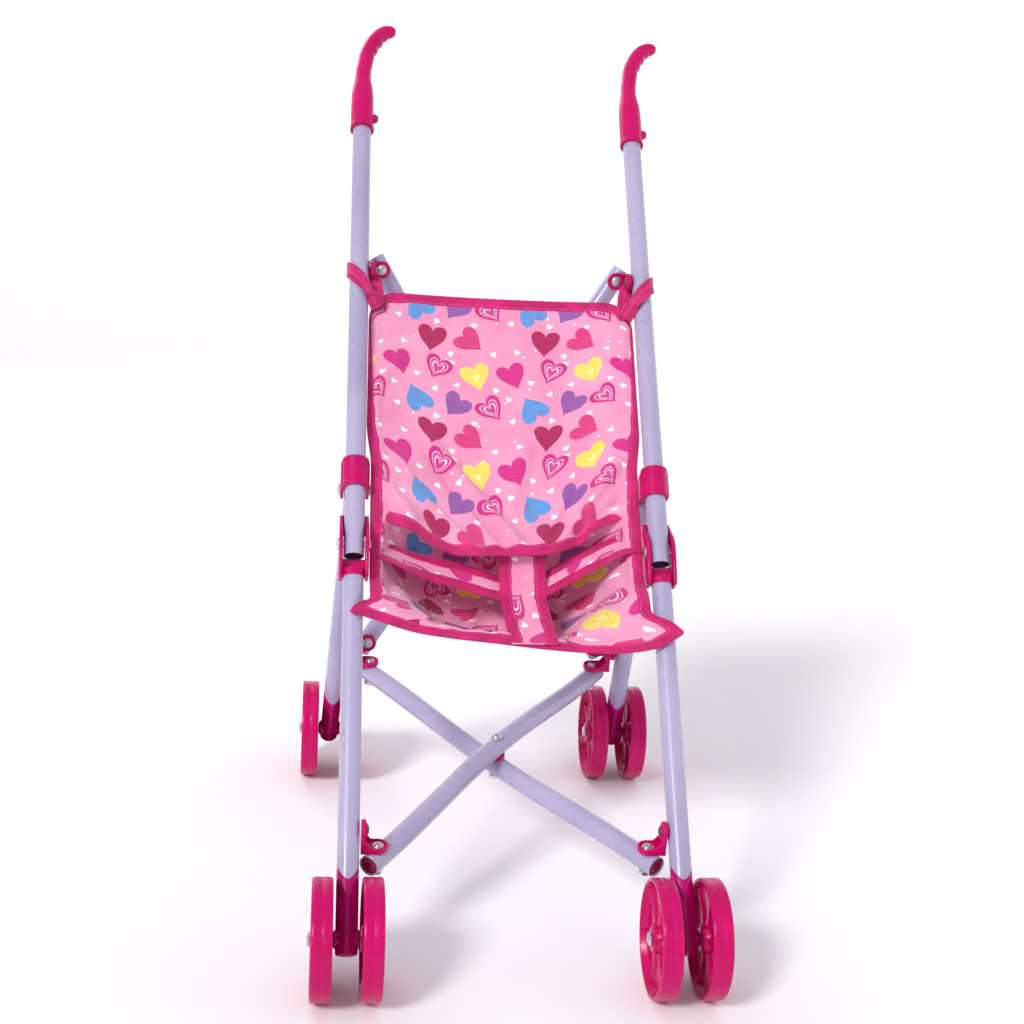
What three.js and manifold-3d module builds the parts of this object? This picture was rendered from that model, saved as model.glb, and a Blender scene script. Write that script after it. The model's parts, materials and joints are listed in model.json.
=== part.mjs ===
// Doll stroller with a folding umbrella frame. Millimetres, +Z up, +Y to the rear, +X to the
// right-hand side as seen from the front. The two side frames are straight tubes in upright
// planes, joined by two scissor crosses, one under the seat and one behind the backrest.
import * as THREE from 'three';
import { mergeVertices } from 'three/addons/utils/BufferGeometryUtils.js';
import Module from 'manifold-3d';

const wasm = await Module();
wasm.setup();

// ---------- driving dimensions ----------
const WHEEL_DIAMETER = 75;
const WHEEL_WIDTH = 13;
const WHEEL_OFFSET = 15.5; // wheel centre to foot centre, along the axle
const TUBE_R = 7;
const TUBE_BORE_R = 6;
const LEG_X = 106; // side plane of the handle and front leg tubes
const REAR_AXLE_X = 116; // the rear legs splay out to this
const LEAN = THREE.MathUtils.degToRad(40); // main line of handle and front leg, from upright
const REAR_AXLE_Y = 331; // wheelbase
const GAP = 0.4; // between pieces that touch

// Stations along the main line, measured up from the front axle
const FOOT_TOP = 40;
const SEAT_SCREW = 68; // screw that holds the seat cross to the front leg
const LEG_TOP = 243;
const ELBOW = 264; // pivot between front leg and handle tube
const HANDLE_END = 255;
const COLLAR = 317;
const BACK_SCREW = 486; // screw that holds the back cross to the handle tube
const GRIP_BASE = 613;
const HANDLE_TOP = GRIP_BASE + 38;

const REAR_PIVOT_BACK = 19; // rear leg pivot, behind the handle tube's axis
const REAR_PIVOT_DOWN = 3;
const REAR_SCREW = 160; // screw on the rear leg shared by both crosses, down from its pivot
const SEAT_BOLT_SPAN = 174; // width between the bolts of the seat cross
const BACK_BOLT_SPAN = 178;
const BAR_END = 10; // bar beyond its bolt
const BOW_OVER = 9.4; // how far the upper bar bows where the bars cross
const BOW_UNDER = 5.4;
const SCREW_RISE = 21.9; // bracket screw above the bar's axis
const BRACKET_GAP = 0.9; // bracket plate to leg
const PLATE = 3; // thickness of brackets, collar ears and cheeks
const BOLT_R = 2;
const HOLE_R = 2.5;

const FABRIC_HALF_WIDTH = 93;
const FABRIC_THICK = 3;
const BACKREST = [[470, 10], [370, 14], [276, 16]]; // station, and back of the line
const SEAT = [[190, 6], [203, 42], [225, 72], [246, 76], [268, 62], [286, 46]];
const CROTCH_STRAP = [[195, 5], [218, 18], [246, 25]];
const STRAP_HALF_WIDTH = 12;
const STRAP_THICK = 2;

// Lap belt: a shallow V across the seat, from side to side
const BELT_STATION = 238;
const BELT_WIDTH = 22;
const BELT_THICK = 2.4;
const BELT_HALF_SPAN = 90;
const BELT_END_BACK = 5;
const BELT_MIDDLE_BACK = 34;

// Strap loops that hang the backrest's top corners from the handle tubes
const LOOP = 470;
const LOOP_HALF_WIDTH = 6;
const LOOP_BORE_R = TUBE_R + GAP;
const LOOP_R = LOOP_BORE_R + 1.5;
const LOOP_TAIL = [LOOP_BORE_R + 0.2, 22]; // from the tube's axis towards the cloth
const LOOP_SIDES = 18;

// ---------- colours ----------
const finish = (color, roughness, metalness) => () =>
  new THREE.MeshStandardMaterial({ color, roughness, metalness });
const paint = finish(0xe4dfee, 0.35, 0.1);
const pink = finish(0xd6006e, 0.3, 0);
const darkPink = finish(0x9a0a3c, 0.4, 0);
const steel = finish(0x9a9aa0, 0.3, 0.9);
const print = finish(0xeb96b9, 0.85, 0);
const binding = finish(0xb8005c, 0.8, 0);

// ---------- the frame's own points ----------
const side = (x) => (x < 0 ? 'left' : 'right');
const lineDir = new THREE.Vector3(0, Math.sin(LEAN), Math.cos(LEAN));
const lineBack = new THREE.Vector3(0, Math.cos(LEAN), -Math.sin(LEAN));
const frontAxle = new THREE.Vector3(0, 0, WHEEL_DIAMETER / 2);
const rearAxle = new THREE.Vector3(0, REAR_AXLE_Y, WHEEL_DIAMETER / 2);
const onLine = (station, back = 0) =>
  frontAxle.clone().addScaledVector(lineDir, station).addScaledVector(lineBack, back);
const rearPivot = onLine(COLLAR - REAR_PIVOT_DOWN, REAR_PIVOT_BACK);
const rearLegLength = rearPivot.distanceTo(rearAxle);
const rearScrew = rearPivot.clone().lerp(rearAxle, REAR_SCREW / rearLegLength);
const rearLegX = (down) => LEG_X + ((REAR_AXLE_X - LEG_X) * down) / rearLegLength;

// ---------- helpers ----------
function solid(geometry) {
  const clean = geometry.clone();
  clean.deleteAttribute('normal');
  clean.deleteAttribute('uv');
  const merged = mergeVertices(clean, 1e-4);
  return new wasm.Manifold(new wasm.Mesh({
    numProp: 3,
    vertProperties: new Float32Array(merged.attributes.position.array),
    triVerts: new Uint32Array(merged.index.array),
  }));
}

function geometryOf(manifold) {
  const mesh = manifold.getMesh();
  const geometry = new THREE.BufferGeometry();
  geometry.setAttribute('position', new THREE.BufferAttribute(mesh.vertProperties, 3));
  geometry.setIndex(new THREE.BufferAttribute(mesh.triVerts, 1));
  geometry.computeVertexNormals();
  return geometry;
}

const join = (...parts) => geometryOf(parts.map(solid).reduce((a, b) => a.add(b)));
const cut = (body, ...tools) =>
  geometryOf(tools.map(solid).reduce((a, b) => a.subtract(b), solid(body)));

// A round rod between two points
function rod(from, to, radius, sides = 12) {
  const length = from.distanceTo(to);
  const geometry = new THREE.CylinderGeometry(radius, radius, length, sides);
  const up = new THREE.Vector3(0, 1, 0);
  const turn = new THREE.Quaternion().setFromUnitVectors(up, to.clone().sub(from).normalize());
  geometry.applyQuaternion(turn);
  const middle = from.clone().lerp(to, 0.5);
  return geometry.translate(middle.x, middle.y, middle.z);
}

const point = (x, y, z) => new THREE.Vector3(x, y, z);
const rodX = (x0, x1, y, z, radius, sides) => rod(point(x0, y, z), point(x1, y, z), radius, sides);
const rodZ = (x, y, z0, z1, radius, sides) => rod(point(x, y, z0), point(x, y, z1), radius, sides);

function block(x0, x1, y0, y1, z0, z1) {
  const geometry = new THREE.BoxGeometry(x1 - x0, y1 - y0, z1 - z0);
  return geometry.translate((x0 + x1) / 2, (y0 + y1) / 2, (z0 + z1) / 2);
}

// A straight hollow tube between two points
function tube(from, to, outer = TUBE_R, bore = TUBE_BORE_R, sides = 16) {
  const reach = to.clone().sub(from).normalize();
  const core = rod(from.clone().sub(reach), to.clone().add(reach), bore, sides);
  return cut(rod(from, to, outer, sides), core);
}

// An outline in the Y-Z plane, made x0 to x1 thick
function plateX(outline, x0, x1) {
  const geometry = new THREE.ExtrudeGeometry(outline, {
    depth: x1 - x0,
    bevelEnabled: false,
    curveSegments: 5,
  });
  // the shape's X is the plate's Y and its Y is the plate's Z
  geometry.applyMatrix4(new THREE.Matrix4().set(0, 0, 1, x0, 1, 0, 0, 0, 0, 1, 0, 0, 0, 0, 0, 1));
  return geometry;
}

// A plate outline with straight sides and a round end at the top
function tongue(halfWidth, foot, centre) {
  const shape = new THREE.Shape();
  shape.moveTo(-halfWidth, foot);
  shape.lineTo(halfWidth, foot);
  shape.absarc(0, centre, halfWidth, 0, Math.PI, false);
  return shape;
}

// A strip of cloth in the Y-Z plane, from a line of [y, z] points, given its thickness
function strip(points, thickness) {
  const line = points.map(([y, z]) => new THREE.Vector2(y, z));
  const offset = (i, distance) => {
    const before = line[Math.max(i - 1, 0)];
    const after = line[Math.min(i + 1, line.length - 1)];
    const along = after.clone().sub(before).normalize();
    return line[i].clone().add(new THREE.Vector2(-along.y, along.x).multiplyScalar(distance));
  };
  const top = line.map((_, i) => offset(i, thickness / 2));
  const bottom = line.map((_, i) => offset(i, -thickness / 2)).reverse();
  return new THREE.Shape([...top, ...bottom]);
}

// ---------- the assembly ----------
const stroller = new THREE.Group();

function add(parent, name, geometry, material) {
  const mesh = new THREE.Mesh(geometry, material());
  mesh.name = name;
  parent.add(mesh);
  return mesh;
}

// Frame along the main line of one side: X across, Y square to the line towards the rear, Z up it
function mainFrame(x) {
  const frame = new THREE.Group();
  frame.position.set(x, frontAxle.y, frontAxle.z);
  frame.rotation.x = -LEAN;
  stroller.add(frame);
  return frame;
}

// Frame along a rear leg, seen from the side: the origin is at the axle, Z up to the pivot
function rearFrame(x) {
  const frame = new THREE.Group();
  const rise = rearPivot.clone().sub(rearAxle);
  frame.position.set(x, rearAxle.y, rearAxle.z);
  frame.rotation.x = Math.atan2(-rise.y, rise.z);
  stroller.add(frame);
  return frame;
}

// ---------- wheels, feet and axles ----------
function wheelGeometry() {
  const segments = 24;
  const rim = WHEEL_DIAMETER / 2 / Math.cos(Math.PI / segments); // flats touch the diameter
  const half = WHEEL_WIDTH / 2;
  const web = 1.8;
  const bore = 2.4;
  const profile = [
    [bore, -half], [8, -half], [8.6, -web], [31.5, -web], [32.5, -half], [rim, -half],
    [rim, half], [32.5, half], [31.5, web], [8.6, web], [8, half], [bore, half], [bore, -half],
  ];
  const geometry = new THREE.LatheGeometry(profile.map(([r, y]) => new THREE.Vector2(r, y)), segments);
  geometry.rotateY(Math.PI / segments);
  return geometry.rotateZ(-Math.PI / 2);
}

const AXLE_END = WHEEL_OFFSET + WHEEL_WIDTH / 2;

function axleGeometry() {
  const cap = 2;
  return join(
    rodX(-AXLE_END - 1, AXLE_END + 1, 0, 0, BOLT_R, 10),
    rodX(AXLE_END + GAP, AXLE_END + GAP + cap, 0, 0, 4.5, 12),
    rodX(-AXLE_END - GAP - cap, -AXLE_END - GAP, 0, 0, 4.5, 12),
  );
}

// Foot plug: as wide as the tube below it, narrower where it goes up inside. `aim` is the
// direction of its leg.
function footGeometry(aim) {
  const at = (station) => aim.clone().multiplyScalar(station);
  const stub = WHEEL_OFFSET - WHEEL_WIDTH / 2 - GAP;
  return cut(
    join(
      rod(at(-10), at(FOOT_TOP), TUBE_R, 20),
      rod(at(FOOT_TOP - 1), at(FOOT_TOP + 16), TUBE_BORE_R - 0.3, 16),
      rodX(-stub, stub, 0, 0, 4.4, 14),
    ),
    rodX(-stub - 2, stub + 2, 0, 0, HOLE_R, 10),
  );
}

function addFoot(x, y, place, frame, aim) {
  const name = `${place}_${side(x)}`;
  add(frame, `foot_plug_${name}`, footGeometry(aim), pink);
  for (const [which, offset] of [['outer', Math.sign(x)], ['inner', -Math.sign(x)]]) {
    const wheel = add(stroller, `wheel_${name}_${which}`, wheelGeometry(), pink);
    wheel.position.set(x + offset * WHEEL_OFFSET, y, WHEEL_DIAMETER / 2);
  }
  const axle = add(stroller, `axle_${name}`, axleGeometry(), steel);
  axle.position.set(x, y, WHEEL_DIAMETER / 2);
}

// ---------- elbow: a clevis on the front leg, open at the front ----------
const CHEEK = TUBE_R + 0.7; // inside face of a cheek or ear
const CHEEK_OUT = CHEEK + 2.4;
const CHEEK_RISE = 25; // the cheeks above the pivot

function elbowGeometry() {
  const outline = new THREE.Shape();
  outline.moveTo(-4, ELBOW - 25);
  outline.lineTo(6, ELBOW - 25);
  outline.lineTo(10, ELBOW - 17);
  outline.lineTo(10, ELBOW + CHEEK_RISE);
  outline.lineTo(7, ELBOW + CHEEK_RISE);
  outline.lineTo(-6, ELBOW + 9.5);
  outline.lineTo(-8, ELBOW + 4);
  outline.lineTo(-8, ELBOW - 9);
  const webIn = TUBE_R + 0.5;
  const spigot = rod(point(0, 0, LEG_TOP - 24), point(0, 0, LEG_TOP + 3), TUBE_BORE_R - 0.3, 16);
  const frontHalf = block(-TUBE_R, TUBE_R, -TUBE_R, 0.6, LEG_TOP + GAP, LEG_TOP + 8);
  return cut(
    join(
      plateX(outline, CHEEK, CHEEK_OUT),
      plateX(outline, -CHEEK_OUT, -CHEEK),
      block(-CHEEK - 1, CHEEK + 1, webIn, 10, ELBOW + 10, ELBOW + CHEEK_RISE),
      block(-CHEEK - 1, CHEEK + 1, 0.6, 10, LEG_TOP + GAP, LEG_TOP + 8),
      cut(spigot, frontHalf),
    ),
    rodX(-CHEEK_OUT - 1, CHEEK_OUT + 1, 0, ELBOW, HOLE_R, 12),
  );
}

// A rivet through both cheeks, with a head on each side
function rivet(y, z) {
  const head = 1.8;
  return join(
    rodX(-CHEEK_OUT - head, CHEEK_OUT + head, y, z, BOLT_R, 10),
    rodX(CHEEK_OUT + GAP, CHEEK_OUT + GAP + head, y, z, 4.4, 14),
    rodX(-CHEEK_OUT - GAP - head, -CHEEK_OUT - GAP, y, z, 4.4, 14),
  );
}

// ---------- collar: a sleeve on the handle tube with two ears for the rear leg ----------
function collarGeometry() {
  const ear = new THREE.Shape();
  ear.moveTo(-2, COLLAR + 9);
  ear.lineTo(-2, COLLAR - 9);
  ear.lineTo(REAR_PIVOT_BACK - 2, COLLAR - REAR_PIVOT_DOWN - 7);
  ear.absarc(REAR_PIVOT_BACK, COLLAR - REAR_PIVOT_DOWN, 6.5, -Math.PI / 2, Math.PI / 2, false);
  ear.lineTo(8, COLLAR + 9);
  const bottom = point(0, 0, COLLAR - 11);
  const top = point(0, 0, COLLAR + 11);
  return cut(
    join(
      rod(bottom, top, TUBE_R + 2.4, 20),
      plateX(ear, CHEEK, CHEEK_OUT),
      plateX(ear, -CHEEK_OUT, -CHEEK),
    ),
    rod(point(0, 0, COLLAR - 12), point(0, 0, COLLAR + 12), TUBE_R + 0.35, 20),
    rodX(-20, 20, REAR_PIVOT_BACK, COLLAR - REAR_PIVOT_DOWN, HOLE_R, 12),
  );
}

// ---------- grip: a sleeve that narrows and hooks over to the right ----------
const HOOK = [ // across, up the line, radius
  [0, 0, 9.3], [0, 14, 8.9], [0, 34, 8.6], [0, 44, 7.2], [0.1, 51, 6.2], [1.6, 66, 6],
  [3.2, 74, 6.1], [6, 82, 6.2], [9.6, 89, 6.2], [13.4, 94.4, 6], [18.2, 98.2, 5.5],
  [22.4, 99.2, 4.5], [25.4, 99.2, 2],
];

function gripGeometry() {
  const sides = 16;
  const positions = [];
  const index = [];
  HOOK.forEach(([x, z, radius], i) => {
    const before = HOOK[Math.max(i - 1, 0)];
    const after = HOOK[Math.min(i + 1, HOOK.length - 1)];
    const heading = Math.atan2(after[0] - before[0], after[1] - before[1]);
    for (let k = 0; k < sides; k += 1) {
      const angle = (k / sides) * 2 * Math.PI;
      const across = radius * Math.cos(angle);
      positions.push(x + across * Math.cos(heading));
      positions.push(radius * Math.sin(angle));
      positions.push(GRIP_BASE + z - across * Math.sin(heading));
    }
  });
  const rings = HOOK.length;
  for (let i = 0; i < rings - 1; i += 1) {
    for (let k = 0; k < sides; k += 1) {
      const a = i * sides + k;
      const b = i * sides + ((k + 1) % sides);
      index.push(a, b, a + sides, b, b + sides, a + sides);
    }
  }
  const last = (rings - 1) * sides;
  for (let k = 1; k < sides - 1; k += 1) {
    index.push(0, k + 1, k);
    index.push(last, last + k, last + k + 1);
  }
  const geometry = new THREE.BufferGeometry();
  geometry.setAttribute('position', new THREE.Float32BufferAttribute(positions, 3));
  geometry.setIndex(index);
  const bore = rod(point(0, 0, GRIP_BASE - 2), point(0, 0, HANDLE_TOP + GAP), TUBE_R + 0.35, 20);
  const boss = rodX(6, 11, 0, GRIP_BASE + 12, 3.6, 12);
  const screwHole = rodX(6, 12, 0, GRIP_BASE + 12, 1.9, 10);
  return cut(join(geometry, boss), bore, screwHole);
}

const gripScrewGeometry = () =>
  join(rodX(TUBE_R + 0.6, 12, 0, GRIP_BASE + 12, 1.5, 10), rodX(11.3, 12.6, 0, GRIP_BASE + 12, 2.8, 12));

// ---------- scissor crosses ----------
// Local frame: X across, Y along the cross, Z towards the brackets and bolt heads; the bars' ends
// lie at Z = 0.
function crossFrame(low, high) {
  const frame = new THREE.Group();
  const run = high.clone().sub(low);
  const slope = Math.atan2(run.z, run.y);
  const middle = low.clone().lerp(high, 0.5);
  frame.rotation.x = slope;
  frame.position.set(0, middle.y + Math.sin(slope) * SCREW_RISE, middle.z - Math.cos(slope) * SCREW_RISE);
  stroller.add(frame);
  return frame;
}

const bowAt = (share, bow) => (bow * (1 + Math.cos(2 * Math.PI * share))) / 2;

function barGeometry(span, reach, bow, lean) {
  const half = Math.hypot(span, reach) / 2;
  const ways = new THREE.Vector3((lean * span) / 2, reach / 2, 0).normalize();
  const along = (u) => {
    const share = THREE.MathUtils.clamp(u / (2 * half), -0.5, 0.5);
    return ways.clone().multiplyScalar(u).setZ(bowAt(share, bow));
  };
  const stops = [-half - BAR_END, -half, -half * 0.75, -half * 0.5, -half * 0.25, 0];
  const path = [...stops, ...stops.slice(0, -1).reverse().map((u) => -u)].map(along);
  const sweep = (radius, points) => new THREE.ExtrudeGeometry(
    new THREE.Shape(new THREE.EllipseCurve(0, 0, radius, radius).getPoints(12).slice(0, -1)),
    { extrudePath: new THREE.CatmullRomCurve3(points), steps: 12, bevelEnabled: false },
  );
  const longer = [along(-half - BAR_END - 2), ...path, along(half + BAR_END + 2)];
  const boltHole = (u) => {
    const at = along(u);
    return rodZ(at.x, at.y, at.z - 12, at.z + 12, HOLE_R, 10);
  };
  return cut(sweep(TUBE_R, path), sweep(TUBE_BORE_R, longer), ...[-half, 0, half].map(boltHole));
}

// Bracket: a plate against the leg, a lug on the bar, the bolt through the bar and a screw head.
// `inward` is +1 on the left-hand side; plateFace is how far the plate's outer face is from the
// bolt. A plate that lies under another one shows no screw head.
function bracketGeometry(inward, plateFace, showsScrew) {
  const lugLow = TUBE_R + GAP;
  const lugHigh = lugLow + PLATE;
  const half = 6.5;
  const outer = -inward * plateFace;
  const inner = outer + inward * PLATE;
  const lug = new THREE.Shape();
  lug.moveTo(outer, -half);
  lug.lineTo(0, -half);
  if (inward > 0) {
    lug.absarc(0, 0, half, -Math.PI / 2, Math.PI / 2, false);
  } else {
    lug.absarc(0, 0, half, -Math.PI / 2, -Math.PI * 1.5, true);
  }
  lug.lineTo(outer, half);
  const lugPlate = new THREE.ExtrudeGeometry(lug, {
    depth: PLATE,
    bevelEnabled: false,
    curveSegments: 6,
  }).translate(0, 0, lugLow);
  const [x0, x1] = [Math.min(outer, inner), Math.max(outer, inner)];
  const head = inner + inward * 1.8;
  const screw = rod(point(outer, 0, SCREW_RISE), point(head, 0, SCREW_RISE), 3.5, 12);
  return join(
    ...(showsScrew ? [screw] : []),
    lugPlate,
    plateX(tongue(half, lugLow, SCREW_RISE), x0, x1),
    rodZ(0, 0, -TUBE_R - 4, lugHigh + 1, BOLT_R, 10),
    rodZ(0, 0, lugHigh - 0.5, lugHigh + 2, 4, 12),
    rodZ(0, 0, -TUBE_R - GAP - 3, -TUBE_R - GAP, 3.9, 6),
  );
}

function addCross(name, frame, span, reach, plateLow, plateHigh, lowName, highName) {
  add(frame, `${name}_bar_over`, barGeometry(span, reach, BOW_OVER, 1), paint);
  add(frame, `${name}_bar_under`, barGeometry(span, reach, -BOW_UNDER, -1), paint);
  const top = BOW_OVER + TUBE_R + GAP;
  const bottom = -BOW_UNDER - TUBE_R - GAP;
  add(frame, `${name}_centre_bolt`, join(
    rodZ(0, 0, bottom - 3.5, top + 1, BOLT_R, 10),
    rodZ(0, 0, top, top + 2.2, 4, 12),
    rodZ(0, 0, bottom - 3, bottom, 3.9, 6),
  ), steel);
  for (const x of [-1, 1]) {
    for (const [end, plate, place] of [[-1, plateLow, lowName], [1, plateHigh, highName]]) {
      const face = plate - span / 2;
      const shape = bracketGeometry(-x, face, place !== 'back_lower');
      const bracket = add(frame, `${place}_bracket_${side(x)}`, shape, pink);
      bracket.position.set((x * span) / 2, (end * reach) / 2, 0);
    }
  }
}

function barPlugGeometry(span, reach, lean) {
  const half = Math.hypot(span, reach) / 2;
  const ways = new THREE.Vector3(lean * span, reach, 0).normalize();
  const at = (u) => ways.clone().multiplyScalar(-half - BAR_END + u);
  return rod(at(1), at(6), TUBE_BORE_R - 0.4, 14);
}

// ---------- build both side frames ----------
for (const x of [-LEG_X, LEG_X]) {
  const name = side(x);
  const main = mainFrame(x);
  const throughTube = (station) => rodX(-10, 10, 0, station, HOLE_R, 10);
  const front = tube(point(0, 0, FOOT_TOP + GAP), point(0, 0, LEG_TOP));
  add(main, `front_leg_${name}`, front, paint);
  addFoot(x, 0, 'front', main, point(0, 0, 1));
  const handle = cut(tube(point(0, 0, HANDLE_END), point(0, 0, HANDLE_TOP)), throughTube(ELBOW));
  add(main, `handle_tube_${name}`, handle, paint);
  add(main, `elbow_bracket_${name}`, elbowGeometry(), pink);
  add(main, `elbow_pin_${name}`, rivet(0, ELBOW), steel);
  add(main, `collar_${name}`, collarGeometry(), pink);
  add(main, `collar_pin_${name}`, rivet(REAR_PIVOT_BACK, COLLAR - REAR_PIVOT_DOWN), steel);
  add(main, `grip_${name}`, gripGeometry(), pink);
  add(main, `grip_screw_${name}`, gripScrewGeometry(), steel);

  const rearX = Math.sign(x) * REAR_AXLE_X;
  const rear = rearFrame(rearX);
  const top = point(x - rearX, 0, rearLegLength);
  const aim = top.clone().normalize();
  const leg = tube(aim.clone().multiplyScalar(FOOT_TOP + GAP), top.clone().addScaledVector(aim, 3));
  const pivotHole = rodX(x - rearX - 10, x - rearX + 10, 0, rearLegLength, HOLE_R, 10);
  add(rear, `rear_leg_${name}`, cut(leg, pivotHole), paint);
  addFoot(rearX, REAR_AXLE_Y, 'rear', rear, aim);
}

// ---------- the two crosses ----------
const seatLow = onLine(SEAT_SCREW);
const seatReach = seatLow.distanceTo(rearScrew);
const backHigh = onLine(BACK_SCREW);
const backReach = backHigh.distanceTo(rearScrew);
const legFace = LEG_X - TUBE_R - BRACKET_GAP;
const rearFace = rearLegX(REAR_SCREW) - TUBE_R - BRACKET_GAP;
const stackedFace = rearFace - PLATE - 1; // the seat cross's plates lie over the back cross's

const seatCross = crossFrame(seatLow, rearScrew);
addCross('seat', seatCross, SEAT_BOLT_SPAN, seatReach, legFace, stackedFace, 'seat_front', 'seat_rear');
add(seatCross, 'seat_bar_plug_left', barPlugGeometry(SEAT_BOLT_SPAN, seatReach, 1), darkPink);
add(seatCross, 'seat_bar_plug_right', barPlugGeometry(SEAT_BOLT_SPAN, seatReach, -1), darkPink);
const backCross = crossFrame(rearScrew, backHigh);
addCross('back', backCross, BACK_BOLT_SPAN, backReach, rearFace, legFace, 'back_lower', 'back_upper');

// ---------- cloth ----------
const clothPoint = (station, back) => {
  const at = onLine(station, back);
  return [at.y, at.z];
};

function clothStrip(name, stations, halfWidth, thickness, material) {
  const points = stations.map(([station, back]) => clothPoint(station, back));
  const geometry = plateX(strip(points, thickness), -halfWidth, halfWidth);
  return add(stroller, name, geometry, material);
}

clothStrip('backrest', BACKREST, FABRIC_HALF_WIDTH, FABRIC_THICK, print);
clothStrip('seat', SEAT, FABRIC_HALF_WIDTH, FABRIC_THICK, print);
clothStrip('crotch_strap', CROTCH_STRAP, STRAP_HALF_WIDTH, STRAP_THICK, print);

const beltLine = new THREE.Shape([
  new THREE.Vector2(-BELT_HALF_SPAN, BELT_END_BACK),
  new THREE.Vector2(0, BELT_MIDDLE_BACK),
  new THREE.Vector2(BELT_HALF_SPAN, BELT_END_BACK),
  new THREE.Vector2(BELT_HALF_SPAN, BELT_END_BACK + BELT_THICK),
  new THREE.Vector2(0, BELT_MIDDLE_BACK + BELT_THICK),
  new THREE.Vector2(-BELT_HALF_SPAN, BELT_END_BACK + BELT_THICK),
]);
const belt = new THREE.ExtrudeGeometry(beltLine, { depth: BELT_WIDTH, bevelEnabled: false });
add(mainFrame(0), 'lap_belt', belt.translate(0, 0, BELT_STATION), binding);

for (const x of [-LEG_X, LEG_X]) {
  const loopBottom = LOOP - LOOP_HALF_WIDTH;
  const loopTop = LOOP + LOOP_HALF_WIDTH;
  const [low, high] = LOOP_TAIL.map((reach) => -Math.sign(x) * reach).sort((a, b) => a - b);
  const ring = rod(point(0, 0, loopBottom), point(0, 0, loopTop), LOOP_R, LOOP_SIDES);
  const tail = block(low, high, -1, 1, loopBottom, loopTop);
  const bore = rod(point(0, 0, loopBottom - 2), point(0, 0, loopTop + 2), LOOP_BORE_R, LOOP_SIDES);
  add(mainFrame(x), `strap_loop_${side(x)}`, cut(join(ring, tail), bore), binding);
}

// The origin is on the ground, under the middle of the whole stroller
stroller.updateMatrixWorld(true);
const box = new THREE.Box3().setFromObject(stroller, true);
stroller.position.set(-(box.min.x + box.max.x) / 2, -(box.min.y + box.max.y) / 2, -box.min.z);
stroller.updateMatrixWorld(true);

export default stroller;
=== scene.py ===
import json
import math

import bmesh
import bpy
from mathutils import Matrix, Vector, noise


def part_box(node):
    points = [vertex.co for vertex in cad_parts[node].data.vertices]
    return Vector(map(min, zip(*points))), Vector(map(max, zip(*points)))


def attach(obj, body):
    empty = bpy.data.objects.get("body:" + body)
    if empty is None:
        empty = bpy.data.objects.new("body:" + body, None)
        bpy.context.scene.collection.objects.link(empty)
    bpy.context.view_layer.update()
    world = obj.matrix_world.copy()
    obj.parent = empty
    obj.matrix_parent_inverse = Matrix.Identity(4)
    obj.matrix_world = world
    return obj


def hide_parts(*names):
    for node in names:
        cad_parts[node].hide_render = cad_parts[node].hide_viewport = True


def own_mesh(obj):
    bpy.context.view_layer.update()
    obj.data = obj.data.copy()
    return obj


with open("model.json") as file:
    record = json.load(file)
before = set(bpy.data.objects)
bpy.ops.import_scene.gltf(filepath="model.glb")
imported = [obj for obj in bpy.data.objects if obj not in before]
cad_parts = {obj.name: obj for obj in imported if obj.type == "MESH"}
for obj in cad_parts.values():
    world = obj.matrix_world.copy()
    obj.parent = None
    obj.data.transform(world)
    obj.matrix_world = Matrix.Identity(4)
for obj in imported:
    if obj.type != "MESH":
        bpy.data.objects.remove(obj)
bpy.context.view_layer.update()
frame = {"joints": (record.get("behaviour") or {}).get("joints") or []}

MM = 0.001


# ---------- places, from the frame ----------
JOINTS = {joint["name"]: joint for joint in frame["joints"]}


def centre(node):
    low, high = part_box(node)
    return (low + high) / 2


def pivot(joint):
    return Vector(JOINTS[joint]["pos_m"])


FRONT_AXLE = centre("wheel_front_left_outer")
REAR_AXLE = centre("wheel_rear_left_outer")
WHEEL_R = FRONT_AXLE.z
WHEEL_HALF = (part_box("wheel_front_left_outer")[1].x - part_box("wheel_front_left_outer")[0].x) / 2
ELBOW = pivot("frame_fold")
REAR_PIVOT = pivot("rear_fold_left")
LEG_X = -ELBOW.x
REAR_X = -centre("axle_rear_left").x
LEAN = math.atan2(ELBOW.y - FRONT_AXLE.y, ELBOW.z - FRONT_AXLE.z)

# Sizes of the frame's parts, with stations along the main line
TUBE_R = 7 * MM
BORE_R = 6 * MM
FOOT_TOP = 40 * MM
LEG_TOP = 243 * MM
ELBOW_STATION = 264 * MM
HANDLE_END = 255 * MM
COLLAR = 317 * MM
GRIP_BASE = 613 * MM
HANDLE_TOP = 651 * MM
PIVOT_BACK = 19 * MM
PIVOT_DOWN = 3 * MM
WHEEL_OFFSET = 15.5 * MM
BAR_END = 10 * MM
SCREW_RISE = 21.9 * MM
BOW_OVER = 9.4 * MM
BOW_UNDER = 5.4 * MM
PLATE = 3 * MM
CHEEK = 7.7 * MM
CHEEK_OUT = 10.1 * MM
GAP = 0.4 * MM

LEFT, RIGHT = -1, 1


def side(x):
    return "left" if x < 0 else "right"


def main_frame(x):
    """X across, Y square to the main line towards the rear, Z up the line from the front axle."""
    return Matrix.Translation((x, FRONT_AXLE.y, FRONT_AXLE.z)) @ Matrix.Rotation(-LEAN, 4, "X")


def rear_frame(x):
    """Along a rear leg seen from the side, Z up from the axle to the pivot."""
    rise = REAR_PIVOT - REAR_AXLE
    turn = Matrix.Rotation(math.atan2(-rise.y, rise.z), 4, "X")
    return Matrix.Translation((x, REAR_AXLE.y, REAR_AXLE.z)) @ turn


REAR_LENGTH = math.hypot(REAR_PIVOT.y - REAR_AXLE.y, REAR_PIVOT.z - REAR_AXLE.z)


def line(x, station, back):
    return main_frame(0) @ Vector((x, back, station))


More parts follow.
